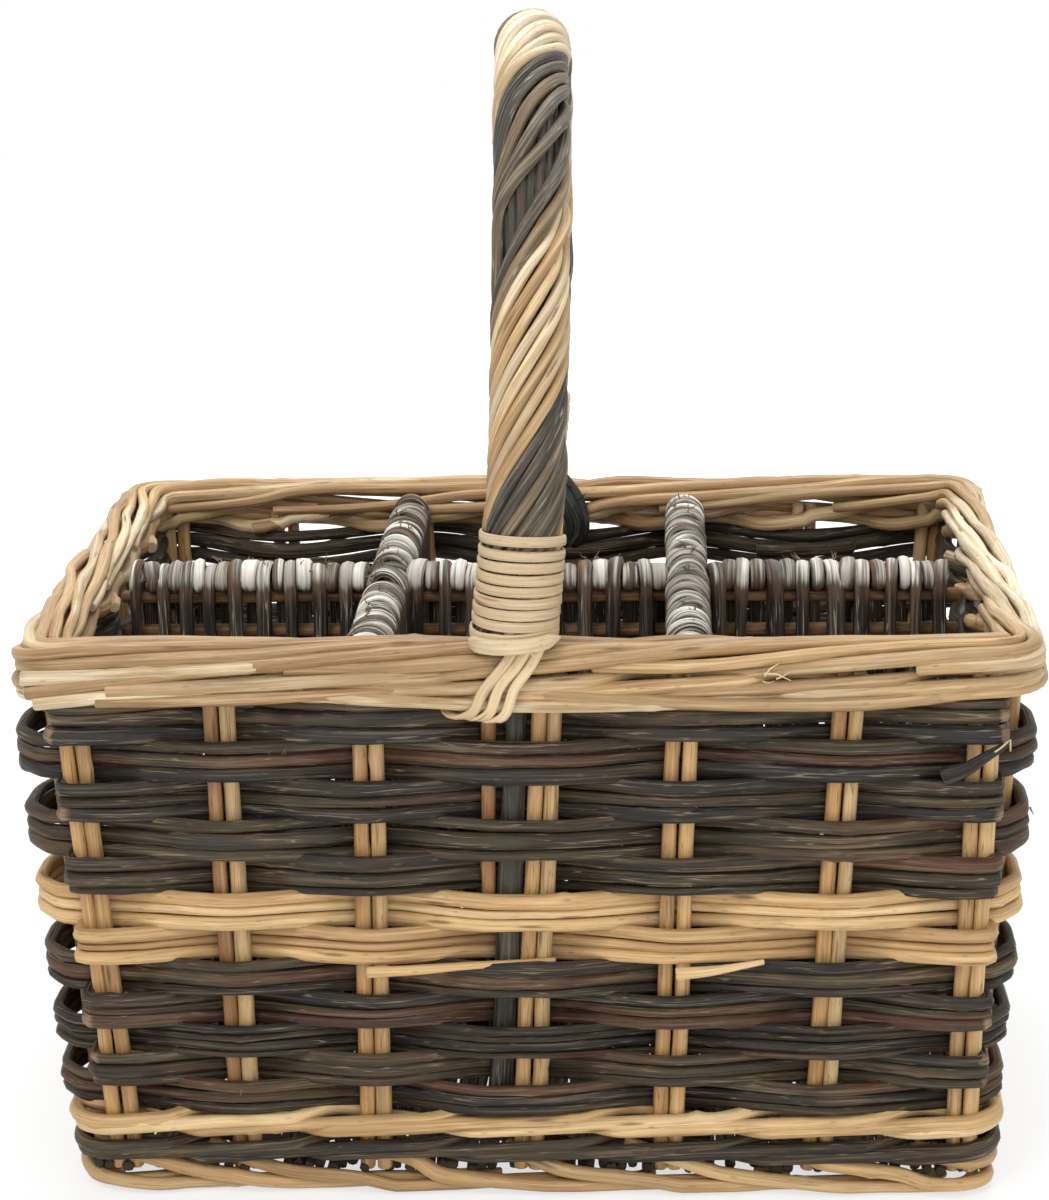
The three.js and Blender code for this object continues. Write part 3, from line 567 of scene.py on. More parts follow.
def weathered_top(tree, colour, marks, tone):
    """Grey, flaking bark with bright edges where divider rods bend over their rail. Heights are in metres."""
    place = node(tree, "ShaderNodeTexCoord").outputs["Object"]
    height = node(tree, "ShaderNodeSeparateXYZ", {0: place}).outputs["Z"]
    ragged = math_of(tree, "MULTIPLY_ADD", marks["Blotches"], RAGGED_BY_BLOTCHES, height)
    ragged = math_of(tree, "MULTIPLY_ADD", marks["Streaks"], RAGGED_BY_STREAKS, ragged)
    brown = mixed(tree, band(tree, ragged, *BROWN_HEIGHTS, 0.0, 0.7), colour, TOP_BROWN)
    brown = mixed(tree, band(tree, marks["Streaks"], 0.36, 0.5, 0.75, 0.0), brown, TOP_DARK)
    flakes = math_of(tree, "MULTIPLY", marks["Streaks"], 0.4)
    flakes = math_of(tree, "MULTIPLY_ADD", marks["Blotches"], 0.6, flakes)
    grey = ramp(tree, flakes, CRACKED_GREY)
    orange = math_of(tree, "MULTIPLY", band(tree, marks["Blotches"], 0.36, 0.42, 1.0, 0.0), 0.5)
    grey = mixed(tree, orange, grey, TOP_ORANGE)
    high, paler = band(tree, ragged, *GREY_HEIGHTS), band(tree, tone, 0.15, 0.6, 0.45, 1.0)
    return mixed(tree, math_of(tree, "MULTIPLY", high, paler), brown, grey)


bark_rod = finish(
    "bark rod", roughness=(0.36, 0.6), bump=1.0, drift=0.3, shade=(0.50, 1.25),
    tones=((0.0, (0.016, 0.015, 0.014)), (0.18, (0.024, 0.018, 0.012)), (0.34, (0.043, 0.025, 0.013)),
           (0.5, (0.051, 0.038, 0.017)), (0.66, (0.038, 0.031, 0.019)), (0.82, (0.080, 0.051, 0.024)),
           (1.0, (0.084, 0.030, 0.014))),
    # Partly painted highlight: the light line colour stands for cracks and for light caught along the rods'
    # edges.
    streak=((0.17, 0.122, 0.070), 0.42), blotch=((0.023, 0.021, 0.017), 0.45), line=((0.40, 0.31, 0.20), 0.4),
    worn=(0.29, 0.185, 0.105), knot=(0.02, 0.015, 0.01), speck=(0.17, 0.125, 0.075))
roping_bark = finish(
    "roping bark", roughness=(0.36, 0.58), bump=0.9, drift=0.14, shade=(0.62, 1.2), slot="bark_rod",
    tones=((0.0, (0.028, 0.028, 0.028)), (0.25, (0.047, 0.039, 0.029)), (0.5, (0.082, 0.064, 0.042)),
           (0.75, (0.113, 0.089, 0.056)), (1.0, (0.203, 0.127, 0.059))),
    streak=((0.30, 0.25, 0.18), 0.55), blotch=((0.045, 0.040, 0.036), 0.35), line=((0.48, 0.42, 0.32), 0.55),
    worn=(0.42, 0.28, 0.14), knot=(0.04, 0.03, 0.02), speck=(0.26, 0.21, 0.15))
peeled_rod = finish(
    "peeled rod", roughness=(0.36, 0.56), bump=0.4, shade=(0.84, 1.12), gloss=0.4,
    tones=((0.0, (0.345, 0.190, 0.077)), (0.35, (0.468, 0.287, 0.124)), (0.7, (0.565, 0.375, 0.172)),
           (1.0, (0.636, 0.459, 0.248))),
    streak=((0.72, 0.53, 0.30), 0.25), blotch=((0.36, 0.185, 0.075), 0.4), line=((0.20, 0.10, 0.04), 0.35),
    worn=(0.62, 0.46, 0.26), knot=(0.11, 0.05, 0.02))
border_rod = finish(
    "border rod", roughness=(0.35, 0.55), bump=0.4, shade=(0.73, 1.07), gloss=0.4,
    tones=((0.0, (0.300, 0.165, 0.070)), (0.35, (0.425, 0.262, 0.118)), (0.7, (0.515, 0.345, 0.168)),
           (1.0, (0.78, 0.66, 0.45))),
    streak=((0.78, 0.63, 0.40), 0.3), blotch=((0.38, 0.20, 0.082), 0.38), line=((0.22, 0.115, 0.05), 0.35),
    worn=(0.68, 0.52, 0.31), knot=(0.12, 0.055, 0.022))
stake_rod = finish(
    "stake rod", roughness=(0.38, 0.6), bump=0.5, shade=(0.85, 1.05), gloss=0.4,
    tones=((0.0, (0.346, 0.168, 0.063)), (0.35, (0.480, 0.274, 0.108)), (0.7, (0.595, 0.379, 0.167)),
           (1.0, (0.653, 0.461, 0.230))),
    streak=((0.62, 0.44, 0.24), 0.35), blotch=((0.26, 0.12, 0.045), 0.45), line=((0.12, 0.055, 0.022), 0.6),
    worn=(0.56, 0.40, 0.21), knot=(0.10, 0.045, 0.02))
base_rod = finish(
    "base rod", roughness=(0.5, 0.75), bump=0.9, shade=(0.5, 1.2),
    tones=((0.0, (0.020, 0.017, 0.014)), (0.5, (0.05, 0.038, 0.028)), (1.0, (0.10, 0.068, 0.042))),
    streak=((0.15, 0.12, 0.085), 0.5), blotch=((0.02, 0.02, 0.02), 0.5), line=((0.20, 0.16, 0.11), 0.5),
    worn=(0.045, 0.033, 0.022), knot=(0.02, 0.015, 0.01))
rail_rod = finish(
    "rail rod", roughness=(0.45, 0.7), bump=0.6,
    tones=((0.0, (0.109, 0.051, 0.022)), (0.5, (0.184, 0.092, 0.038)), (1.0, (0.245, 0.133, 0.059))),
    streak=((0.42, 0.25, 0.12), 0.4), blotch=((0.10, 0.05, 0.025), 0.5), line=((0.06, 0.03, 0.015), 0.6),
    worn=(0.42, 0.28, 0.14), knot=(0.05, 0.022, 0.01))
weathered_rod = finish(
    "weathered rod", roughness=(0.5, 0.8), bump=1.0, drift=0.3, shade=(0.45, 1.3), top=weathered_top,
    tones=((0.0, (0.015, 0.013, 0.012)), (0.3, (0.035, 0.024, 0.018)), (0.55, (0.053, 0.041, 0.028)),
           (0.8, (0.077, 0.052, 0.036)), (1.0, (0.112, 0.052, 0.024))),
    streak=((0.16, 0.12, 0.085), 0.55), blotch=((0.03, 0.026, 0.024), 0.4), line=((0.62, 0.56, 0.46), 0.7),
    worn=(0.40, 0.31, 0.20), knot=(0.02, 0.016, 0.012))
core_rod = finish(
    "core rod", roughness=(0.4, 0.65), bump=0.9, drift=0.3, shade=(0.55, 1.25),
    tones=((0.0, (0.012, 0.012, 0.011)), (0.5, (0.060, 0.056, 0.040)), (1.0, (0.10, 0.065, 0.045))),
    streak=((0.12, 0.11, 0.075), 0.5), blotch=((0.024, 0.028, 0.024), 0.5), line=((0.22, 0.19, 0.14), 0.45),
    worn=(0.26, 0.18, 0.10), knot=(0.025, 0.02, 0.015))
cane = finish(
    "cane", roughness=(0.3, 0.48), bump=0.4, shade=(0.9, 1.05), gloss=0.4,
    tones=((0.0, (0.535, 0.375, 0.203)), (0.5, (0.63, 0.474, 0.277)), (1.0, (0.715, 0.567, 0.362))),
    streak=((0.70, 0.61, 0.43), 0.5), blotch=((0.46, 0.30, 0.14), 0.3), line=((0.30, 0.18, 0.08), 0.35),
    worn=(0.62, 0.48, 0.28), knot=(0.24, 0.13, 0.06))

# Stakes

STAKE_HEIGHTS = np.arange(9.0, 207.0, 4.5)
STAKE_GAP = 0.1
STAKE_DRIFT = (42, 0.5)
STAKE_PUSH = (42, 0.4)


def stake_rods(stake):
    """Two rods side by side, each a little bent."""
    rods = []
    for sign, tones in ((-1, (0.0, 0.6)), (1, (0.4, 1.0))):
        radius = STAKE_RADIUS * random.uniform(0.93, 1.03)
        across = sign * (STAKE_RADIUS + STAKE_GAP) + soft_wander(STAKE_HEIGHTS, *STAKE_DRIFT)
        push = soft_wander(STAKE_HEIGHTS, *STAKE_PUSH)
        path = [(*(stake.place(z) + stake.along * shift + stake.out * off), z)
                for z, shift, off in zip(STAKE_HEIGHTS, across, push)]
        taper = np.linspace(1.03, 0.94, len(path)) * radius
        tone = random.uniform(*tones)
        rods.append(Rod(path, taper, taper, tone, up=(*stake.out, 0), sides=12, square=0.88, rough=0.5))
    return rods


# Woven rows

ROW_DEPTH = 6.7
LEG_EXTRA_DEPTH = 0.9
SIDE_BULGE = {"left": 3.0, "right": -0.8}
PLAN_STEP = 1.5
CORNER_GAP = 0.6
WIDE_CORNER_CUT = 8.0
BEND_ROUNDING = 1.7
WAVE_SHARE = 0.55
STRAIGHT_SHARE = 0.45
WAVE_PLACES = np.linspace(0, 1, 14)[1:-1]
STAKE_EDGE = 2.2
MIDDLE_EDGES = (4.0, STAKE_RADIUS + LEG_SHIFT)

LANE_COUNTS = (3, 3, 3, 3, 3, 3, 3, 3, 3, 4, 3, 3)
LANE_SHARES = (0.72, 1.35)
LANE_FILL = 0.97
LANE_PUSH = 0.35
ROW_OVERLAP = 0.9
ROD_HALF_DEPTHS = (1.9, 2.45)
INSIDE_DROP = 2.2
INSIDE_SPREAD = 0.14
JOINTS_PER_ROD = 2
JOINT_OVERLAP = 14
START_TUCK = 1.6
END_TUCK = 4.2
HEIGHT_WANDER = (60, 0.5)
SHARE_WANDER = (85, 0.2)
LEVEL_WANDER = (75, 0.45)
ROD_WANDER = (28, 0.3)
PUSH_WANDER = (50, 0.55)
PATCHES = (55, 1)
PATCH_CHANCE = 0.25
PATCH_WEAR = 0.5
CRACKING_TURN = 0.75
LIGHT_WEAR = 0.35
DARK_WEAR = (0.1, 0.8)


def edges(stake):
    """Half width of the flat stretch of a rod over a stake, before and after its middle."""
    if stake.middle:
        return MIDDLE_EDGES[::-1] if stake.along[0] > 0 else MIDDLE_EDGES
    return STAKE_EDGE, STAKE_EDGE


def pass_depth(stake, side):
    """How far a row's middle stands off a stake, outside it for side 1 and inside it for side -1."""
    depth = ROW_DEPTH + (LEG_EXTRA_DEPTH if stake.middle else 0)
    return side * (depth + (SIDE_BULGE.get(stake.side, 0) if side > 0 else 0))


def row_plan(row, z):
    """Closed plan path of a woven row."""
    points = []
    for i, stake in enumerate(STAKES):
        following = STAKES[(i + 1) % len(STAKES)]
        side = 1 if i % 2 == row % 2 else -1
        depth, next_depth = pass_depth(stake, side), pass_depth(following, -side)
        before, after = edges(stake)
        here = stake.place(z)
        start = here + stake.along * after
        end = following.place(z) - following.along * edges(following)[0]
        points.append(here - stake.along * before + stake.out * depth)
        points.append(start + stake.out * depth)
        if following.side != stake.side:
            points.extend(corner_points(stake, following, side, z))
            continue
        for t in WAVE_PLACES:
            blend = 0.5 * (1 + math.cos(math.pi * t)) * WAVE_SHARE + (1 - t) * STRAIGHT_SHARE
            off = depth * blend + next_depth * (1 - blend)
            points.append(start + (end - start) * t + stake.out * off)
    return np.array(points)


def corner_points(stake, following, side, z):
    """Tight bend round a long wall's last stake, or a wide one outside the short wall."""
    long_stake, short_stake = (stake, following) if stake.on_long_wall else (following, stake)
    long_side = side if stake.on_long_wall else -side
    tight = long_side > 0
    near_stake = abs(long_stake.place(z)[0]) + 2 * STAKE_RADIUS + CORNER_GAP
    x = near_stake if tight else half_x(z) + ROW_DEPTH + SIDE_BULGE[short_stake.side]
    corner = np.array((short_stake.out[0] * x, long_stake.out[1] * (half_y(z) + long_side * ROW_DEPTH)))
    if tight:
        return [corner]
    return [corner - stake.along * WIDE_CORNER_CUT, corner + following.along * WIDE_CORNER_CUT]


def closed_path(points, step, sigma):
    """A closed path with even steps, its corners rounded by a Gaussian filter."""
    loop = np.vstack((points, points[:1]))
    along = lengths_along(loop)
    count = int(along[-1] / step)
    even = between(np.arange(count) * along[-1] / count, along, loop)
    reach = int(3 * sigma / step) + 1
    shifts = np.arange(-reach, reach + 1)
    kernel = np.exp(-0.5 * (shifts * step / sigma) ** 2)
    kernel /= kernel.sum()
    return sum(weight * np.roll(even, shift, axis=0) for shift, weight in zip(shifts, kernel))


def outward_of(path):
    """Plan directions that point out of a closed anticlockwise path."""
    tangent = np.roll(path, -1, axis=0) - np.roll(path, 1, axis=0)
    return unit(np.stack((tangent[:, 1], -tangent[:, 0]), axis=1))


def stake_places(path, z):
    """Which point of a path is nearest to each stake, and every point's place counted in stakes."""
    places = np.array([stake.place(z) for stake in STAKES])
    nearest = np.argmin(np.linalg.norm(path[None] - places[:, None], axis=2), axis=1)
    marks = np.sort(nearest)
    count = len(path)
    index = np.arange(count)
    passed = np.searchsorted(marks, index, side="right")
    before, after = marks[passed - 1], marks[passed % len(marks)]
    share = ((index - before) % count) / np.maximum((after - before) % count, 1)
    number = passed - 1 - np.searchsorted(marks, nearest[0])
    return nearest, (number + share) % len(marks)


def lane_rods(path, outward, joints, overlap, wide, thick, tones, worn, thin=1, square=0.86, rough=0.8):
    """Rods that follow one closed path, each from one joint to the next, with their ends tucked inside."""
    count = len(path)
    wide, thick, worn = (np.broadcast_to(values, (count,)) for values in (wide, thick, worn))
    rods = []
    for start, stop, tone in zip(joints, joints[1:] + joints[:1], tones):
        span = (stop - start) % count or count
        index = (start - overlap + np.arange(span + 2 * overlap)) % count
        steps = np.arange(len(index))
        tuck = START_TUCK * smooth_step((overlap - steps) / overlap)
        tuck = tuck + END_TUCK * smooth_step((steps - (len(index) - overlap)) / overlap)
        line = path[index].copy()
        line[:, :2] -= outward[index] * tuck[:, None]
        taper = (np.linspace(1.07, 0.93, len(index)) * random.uniform(0.97, 1.04))[::thin]
        kept = index[::thin]
        size = wide[kept] * taper, thick[kept] * taper
        rods.append(Rod(line[::thin], *size, tone, sides=10, square=square, worn=worn[kept], rough=rough))
    return rods


def bend_wear(path, share):
    """Cracked bark where a path turns sharply."""
    before = path - np.roll(path, 2, axis=0)
    after = np.roll(path, -2, axis=0) - path
    turn = np.abs(before[:, 0] * after[:, 1] - before[:, 1] * after[:, 0])
    turn /= np.linalg.norm(before[:, :2], axis=1) * np.linalg.norm(after[:, :2], axis=1)
    return share * np.clip(turn / CRACKING_TURN, 0, 1)


def middling_tone(pull):
    """A tone that is seldom near either end of the rod's colours."""
    return float(np.clip(random.beta(1.3, pull), 0.02, 0.98))


bark_tone = partial(middling_tone, 1.4)
divider_tone = partial(middling_tone, 1.5)
light_tone = partial(random.uniform, 0.1, 1.0)
rim_tone = partial(random.uniform, 0.0, 0.85)


def woven_row(row):
    """Rods pressed side by side that pass in front of every second stake pair."""
    low, high = row_levels(row)
    middle = (low + high) / 2
    plan = closed_path(row_plan(row, middle), PLAN_STEP, BEND_ROUNDING)
    nearest, place = stake_places(plan, middle)
    outward = outward_of(plan)
    drift = partial(closed_wander, len(plan), PLAN_STEP)
    light, lanes = row in LIGHT_ROWS, LANE_COUNTS[row]
    square, rough = (0.9, 0.6) if light else (0.82, 1.15)
    inside_share = 0.5 - 0.5 * np.cos(math.pi * (place - row % 2))
    height = (high - low + ROW_OVERLAP) * (1 + INSIDE_SPREAD * inside_share) + drift(*HEIGHT_WANDER)
    shares = np.array([random.uniform(*LANE_SHARES) + drift(*SHARE_WANDER) for _ in range(lanes)])
    shares /= shares.sum(axis=0)
    levels = np.vstack((np.zeros(len(plan)), np.cumsum(shares, axis=0))) - 0.5
    levels = middle + levels * height + drift(*LEVEL_WANDER) - INSIDE_DROP * (inside_share - 0.1)
    inside = [mark for n, mark in enumerate(nearest) if n % 2 != row % 2]
    rods = []
    for below, above in zip(levels, levels[1:]):
        z = (below + above) / 2 + drift(*ROD_WANDER)
        thick = (above - below) / 2 * LANE_FILL
        push = drift(*PUSH_WANDER) + random.uniform(-LANE_PUSH, LANE_PUSH)
        path = np.column_stack((plan + outward * (push + WALL_LEAN * (z - middle))[:, None], z))
        joints = sorted(random.choice(inside, JOINTS_PER_ROD, replace=False))
        tones = [light_tone() if light else bark_tone() for _ in joints]
        wear = bend_wear(path, LIGHT_WEAR if light else random.uniform(*DARK_WEAR))
        if not light and random.random() < PATCH_CHANCE:
            wear = np.maximum(wear, PATCH_WEAR * smooth_step((drift(*PATCHES) - 0.45) / 0.3))
        half_depth = np.clip(thick * 1.05, *ROD_HALF_DEPTHS)
        rods += lane_rods(path, outward, joints, JOINT_OVERLAP, half_depth, thick, tones, wear, thin=2,
                          square=square, rough=rough)
    return rods if light else rods + corner_fibres(path, wear)


def corner_fibres(path, wear):
    """Torn bark at the sharpest bends of a row."""
    rods = []
    for number in np.argsort(wear)[::-11][:2]:
        place = path[number] + np.append(outward_of(path[:, :2])[number] * (ROD_HALF_DEPTHS[1] - 0.6), 0)
        rods += slivers(place, (random.normal(), random.normal(), random.choice((-1.5, 1.5))), 2, 3.5, 1.0)
    return rods


# Wales, rim and foot

WALL_CORNER = 10
CORNER_STEPS = 8
CORNERS = ((3, 1, -1), (0, 1, 1), (1, -1, 1), (2, -1, -1))

WALE_STRANDS = 3
WALE_JOINTS = 3
WALE_OVERLAP = 5
WALE_STEP = 2.9
WALE_WEAR = 0.3
WALE_OUT = 0.2
WALE_IN = 2.3
WALE_TURN = 0.5
WALE_CLIMB = ((0, 0.35, 2.6, 3.0), (0.35, 0, 1, 0.6))
WALE_PUSH = (40, 0.45)
WALE_BENDS = (40, 0.5)
WALE_SWELLS = (90, 0.1)
STEPS_PER_STAKE = 16

RIM_CONTROLS = (
    (-0.35, -3.0, 202.8), (0.05, 3.0, 203.4), (0.4, 5.4, 204.9), (1.0, 5.6, 207.2), (1.6, 5.2, 209.8),
    (2.1, 3.7, 211.7), (2.7, 0.9, 212.4), (3.3, -2.0, 212.6), (3.9, -4.9, 212.1), (4.5, -7.6, 210.7),
    (5.0, -9.0, 208.5), (5.5, -9.3, 206.0), (5.9, -8.2, 203.8),
)
RIM_BUTTS = {0: 0.35, 1: 0.3, 3: 0.25, 5: 0.35, 8: 0.3, 13: 0.3, 19: 0.4}
RIM_LEVEL = 209
RIM_RADIUS = 2.5
RIM_TEAR = (84, -half_y(204) - 8, 204)
FOOT_CONTROLS = (
    (-0.25, -1.0, 17.0), (0.05, 3.2, 12.6), (0.4, 5.0, 8.6), (0.8, 5.2, 4.8), (1.2, 4.6, 3.1),
    (1.6, 3.0, 2.9), (2.0, 0.4, 2.8), (2.5, -3.4, 3.0), (2.8, -5.2, 3.3),
)
FOOT_LEVEL = 5
FOOT_RADIUS = 2.55
CONTROL_JITTER = (0.10, 0.45, 0.65)
STRAND_STEP = 3.2
STRAND_WANDER = (45, 0.5)
PLAIT_PLACES = (-0.4, 0.2, 0.8, 1.45, 2.2, 3.05, 4.0, 4.9, 5.5, 6.0)
PLAIT_LIFTS = (-1, -1.6, 0.8, -1.6, 0.9, -1.6, 0.8, -1.6, -1, -1)
PLAIT_MIDDLE = (-2.0, 208.6)
# Tone added to the rim rods on the short walls: painted light, for the bright light on their tops.
SHORT_WALL_PAINTED_LIGHT = 0.35
PLAIT_SWELL = 0.09
SHORT_WALLS = ((6.5, 11.5), (18.5, 23.5))
SHORT_WALL_FADE = 0.6


class WallLine:
    """The rounded rectangle through the stakes at a height, measured in stakes from the front left one."""

    def __init__(self, level):
        self.level = level
        points, outward = [], []
        for quadrant, sx, sy in CORNERS:
            centre = np.array((sx * (half_x(level) - WALL_CORNER), sy * (half_y(level) - WALL_CORNER)))
            for step in range(CORNER_STEPS + 1):
                angle = math.pi / 2 * (quadrant + step / CORNER_STEPS)
                direction = np.array((math.cos(angle), math.sin(angle)))
                points.append(centre + direction * WALL_CORNER)
                outward.append(direction)
        self.points = np.array(points + points[:1])
        self.outward = np.array(outward + outward[:1])
        self.along = lengths_along(self.points)
        marks = [self.nearest(stake.place(level)) for stake in STAKES]
        self.marks = np.unwrap(np.array(marks), period=self.along[-1])

    def nearest(self, place):
        dense = np.linspace(0, self.along[-1], 4000)
        return dense[np.argmin(np.linalg.norm(between(dense, self.along, self.points) - place, axis=1))]

    def at(self, place, out, z):
        """Points at places counted in stakes, distances outwards and heights."""
        total = self.along[-1]
        marks = np.append(self.marks, self.marks[0] + total)
        within = place - np.floor(place / len(STAKES)) * len(STAKES)
        along = np.interp(within, np.arange(len(marks)), marks) % total
        outward = unit(between(along, self.along, self.outward))
        shift = out + WALL_LEAN * (z - self.level)
        return np.column_stack((between(along, self.along, self.points) + outward * shift[:, None], z))


def wale_rods(levels, radius, depth, tones):
    """Three strands twisted round the stakes: each passes in front of two, rising, and behind one."""
    low, high = levels
    middle, rise = (low + high) / 2, (high - low) / 2 - radius * 0.9
    line = WallLine(middle)
    steps = len(STAKES) * STEPS_PER_STAKE
    place = np.arange(steps) / STEPS_PER_STAKE
    drift = partial(closed_wander, steps, WALE_STEP)
    rods = []
    for strand in range(WALE_STRANDS):
        phase = (place - strand) % WALE_STRANDS
        outside = smooth_step((phase - WALE_OUT) / WALE_TURN)
        outside = outside * (1 - smooth_step((phase - WALE_IN) / WALE_TURN))
        climb = np.interp(phase, *WALE_CLIMB)
        off = depth * (2 * outside - 1) + drift(*WALE_PUSH)
        path = line.at(place, off, middle + rise * (2 * climb - 1) + drift(*WALE_BENDS))
        inner = np.flatnonzero(phase == 0)
        joints = sorted(random.choice(inner, WALE_JOINTS, replace=False))
        size = radius * (1 + drift(*WALE_SWELLS))
        rods += lane_rods(path, outward_of(path[:, :2]), joints, WALE_OVERLAP, size, size,
                          [tones() for _ in joints], bend_wear(path, WALE_WEAR))
    return rods


def short_wall_share(place):
    """1 along the short walls and 0 along the long ones, for places counted in stakes."""
    place = place % len(STAKES)
    return sum(smooth_step((place - a) / SHORT_WALL_FADE) * smooth_step((b - place) / SHORT_WALL_FADE)
               for a, b in SHORT_WALLS)


def strand_rods(level, controls, radius, tones, butts, plaited):
    """One rod from each stake, through control points of (stakes onward, outwards, height).

    butts gives the rods whose cut end shows, as {number of the rod: stakes onward}. On the short walls a
    plaited rod rises in leaf shapes between the rods that it dives under, and its tone is raised there as
    painted light, so that these rims read as brightly lit.
    """
    line = WallLine(level)
    rods = []
    for number, start in enumerate(np.arange(len(STAKES)) + 0.1):
        kept = list(controls)
        if number in butts:
            kept = [control for control in controls if control[0] > butts[number] + 0.2]
            kept.insert(0, (butts[number], kept[0][1] + 0.6, kept[0][2] - 0.4))
        jitter = random.normal(size=(len(kept), 3)) * CONTROL_JITTER
        guide = curve_through(np.array(kept) + jitter, 0.12)
        dense = np.linspace(0, len(guide) - 1, len(guide) * 8)
        place, out, z = between(dense, np.arange(len(guide)), guide).T
        short = short_wall_share(start + place) * plaited
        lift = softened(short * np.interp(place, PLAIT_PLACES, PLAIT_LIFTS), 3)
        from_middle = np.stack((out - PLAIT_MIDDLE[0], z - PLAIT_MIDDLE[1]))
        from_middle = from_middle / np.linalg.norm(from_middle, axis=0) * lift
        path = resampled(line.at(start + place, out + from_middle[0], z + from_middle[1]), STRAND_STEP)
        # Painted light: the rods' tone is raised on the short walls, so these rims read as brightly lit.
        surface = np.column_stack((SHORT_WALL_PAINTED_LIGHT * short, 1 + PLAIT_SWELL * lift))
        pale, swell = between(np.linspace(0, 1, len(path)), np.linspace(0, 1, len(lift)), surface).T
        along = lengths_along(path)
        for axis in range(3):
            path[:, axis] += wander(along, *STRAND_WANDER)
        path = softened(path, 2)
        size = np.linspace(1.10, 0.88, len(path)) * radius * random.uniform(0.87, 1.13) * swell
        path[:, 2] = np.maximum(path[:, 2], size * 1.12)
        rods.append(Rod(path, size, size, tones() + pale, sides=10, square=0.84, rough=0.7))
    return rods


# Floor

MAT_LEVEL = 10.3
MAT_EXTRA_X = 1.5
MAT_EXTRA_Y = 2.0
MAT_STICKS = 9
MAT_STICK_RADIUS = 2.2
MAT_STICK_INSET = 12
MAT_STICK_WANDER = (60, 0.8)
MAT_PITCH = 4.0
MAT_ROD_RADIUS = 2.0
MAT_ROD_WANDER = (60, 1.1)
MAT_ROD_ENDS = (-4.8, 1.4)
MAT_WAVE = 1.9
SHORT_ROD_SHARE = 0.2
SHORT_ROD_CUT = 9
DROOP_START = 102
DROOP = 2.6
UNDER_RAIL_Y = 59
UNDER_RAIL_Z = 5.3
UNDER_RAIL_INSET = 7
RAIL_RADIUS = 2.7


def floor_rods():
    """Plain weave: sticks along X, and thin rods along Y whose ragged ends show under the wall."""
    reach_x, reach_y = half_x(MAT_LEVEL) + MAT_EXTRA_X, half_y(MAT_LEVEL) + MAT_EXTRA_Y
    rods = []
    stick_places = np.linspace(MAT_STICK_INSET - reach_y, reach_y - MAT_STICK_INSET, MAT_STICKS)
    xs = np.linspace(-reach_x, reach_x, 46)
    for y in stick_places:
        path = np.column_stack((xs, y + wander(xs, *MAT_STICK_WANDER), np.full(len(xs), MAT_LEVEL)))
        rods.append(Rod(path, MAT_STICK_RADIUS, MAT_STICK_RADIUS, random.uniform(0.2, 1.0)))
    for number, x in enumerate(np.arange(3 - reach_x, reach_x - 2, MAT_PITCH)):
        short = random.random(2) < SHORT_ROD_SHARE
        ends = reach_y + random.uniform(*MAT_ROD_ENDS, 2) - SHORT_ROD_CUT * short
        ys = np.linspace(-ends[0], ends[1], 56)
        phase = np.interp(ys, stick_places, np.arange(MAT_STICKS), left=-0.5, right=MAT_STICKS - 0.5)
        lift = (1 if number % 2 else -1) * MAT_WAVE * np.cos(np.pi * phase)
        lift = lift * np.interp(np.abs(ys), (100, 118), (1, 0.3))
        droop = random.uniform(0.0, DROOP) * smooth_step((np.abs(ys) - DROOP_START) / 10)
        path = np.column_stack((x + wander(ys, *MAT_ROD_WANDER), ys, MAT_LEVEL + 0.2 + lift - droop))
        size = MAT_ROD_RADIUS * random.uniform(0.94, 1.1)
        rods.append(Rod(path, size, size, random.random()))
    return rods


def rail_rods(start, end, tone):
    """A nearly straight stick with slight bends."""
    path = resampled([start, end], 5.0)
    path[:, 2] += soft_wander(lengths_along(path), 50, 0.2)
    return [Rod(path, RAIL_RADIUS, RAIL_RADIUS, tone, sides=12, rough=0.8)]


# Dividers

DIVIDER_TOP = 211.4
DIVIDER_BOTTOM = 12.7
CROSS_DIVIDER_X = 57.9
HAIRPIN_OUTER = 8.25
HAIRPIN_HALF = 1.7
HAIRPIN_STEP = 1.6
CROSS_RAIL_Z = DIVIDER_TOP - HAIRPIN_OUTER
LONG_RAIL_Z = CROSS_RAIL_Z - 6
SECOND_RAIL_Z = LONG_RAIL_Z - 14
INNER_DEPTH = 10.75
DIVIDER_END_LEAN = 0.04
LONG_PITCH = 5.2
LONG_WIDTHS = (0.82, 1.25)
CROSS_PITCHES = (3.3, 4.4, 6.4)
CROSS_WIDTHS = (0.9, 1.1)
FOLDED_TOPS = (-1.8, 0.9)
STRADDLING_TOPS = (-2.4, 1.3)
STRADDLE_LEG = ((6.3, DIVIDER_BOTTOM), (6.5, 60), (6.6, 120), (6.6, 170), (6.6, 190), (6.55, 199))
FOLD_OUTER_LEG = ((6.7, DIVIDER_BOTTOM), (6.9, 60), (6.9, 110), (6.9, 150), (6.9, 184), (6.75, 198))
FOLD_INNER_LEG = ((-5.6, 201.9), (-3.0, 201.3), (0.0, 201.4), (2.8, 200.4), (4.1, 197.6), (4.2, 184),
                  (4.0, 150), (3.8, 110), (3.7, 60), (3.6, DIVIDER_BOTTOM))
ARCH_START = 0.12
ARCH_POINTS = 9
FINE_TOP = 22
LEG_THINNING = 5
TILT = 2.0
FOLDED_TILT = 0.8
LEAN = 0.6
HAIRPIN_WANDER = (45, 0.7)
WORN_HAIRPIN_SHARE = 0.3
TORN_HAIRPIN_SHARE = 0.3


def divider_reach(half, z):
    return half(DIVIDER_BOTTOM) - INNER_DEPTH + DIVIDER_END_LEAN * z


def across_basket(x):
    """Puts (distance along a cross divider, distance across it, height) into the basket's frame."""
    return lambda along, side, z: (x + side, along * (1 + DIVIDER_END_LEAN * (z - 100) / 110), z)


def along_basket(along, side, z):
    """Puts (distance along the long divider, distance across it, height) into the basket's frame."""
    return along, -side, z


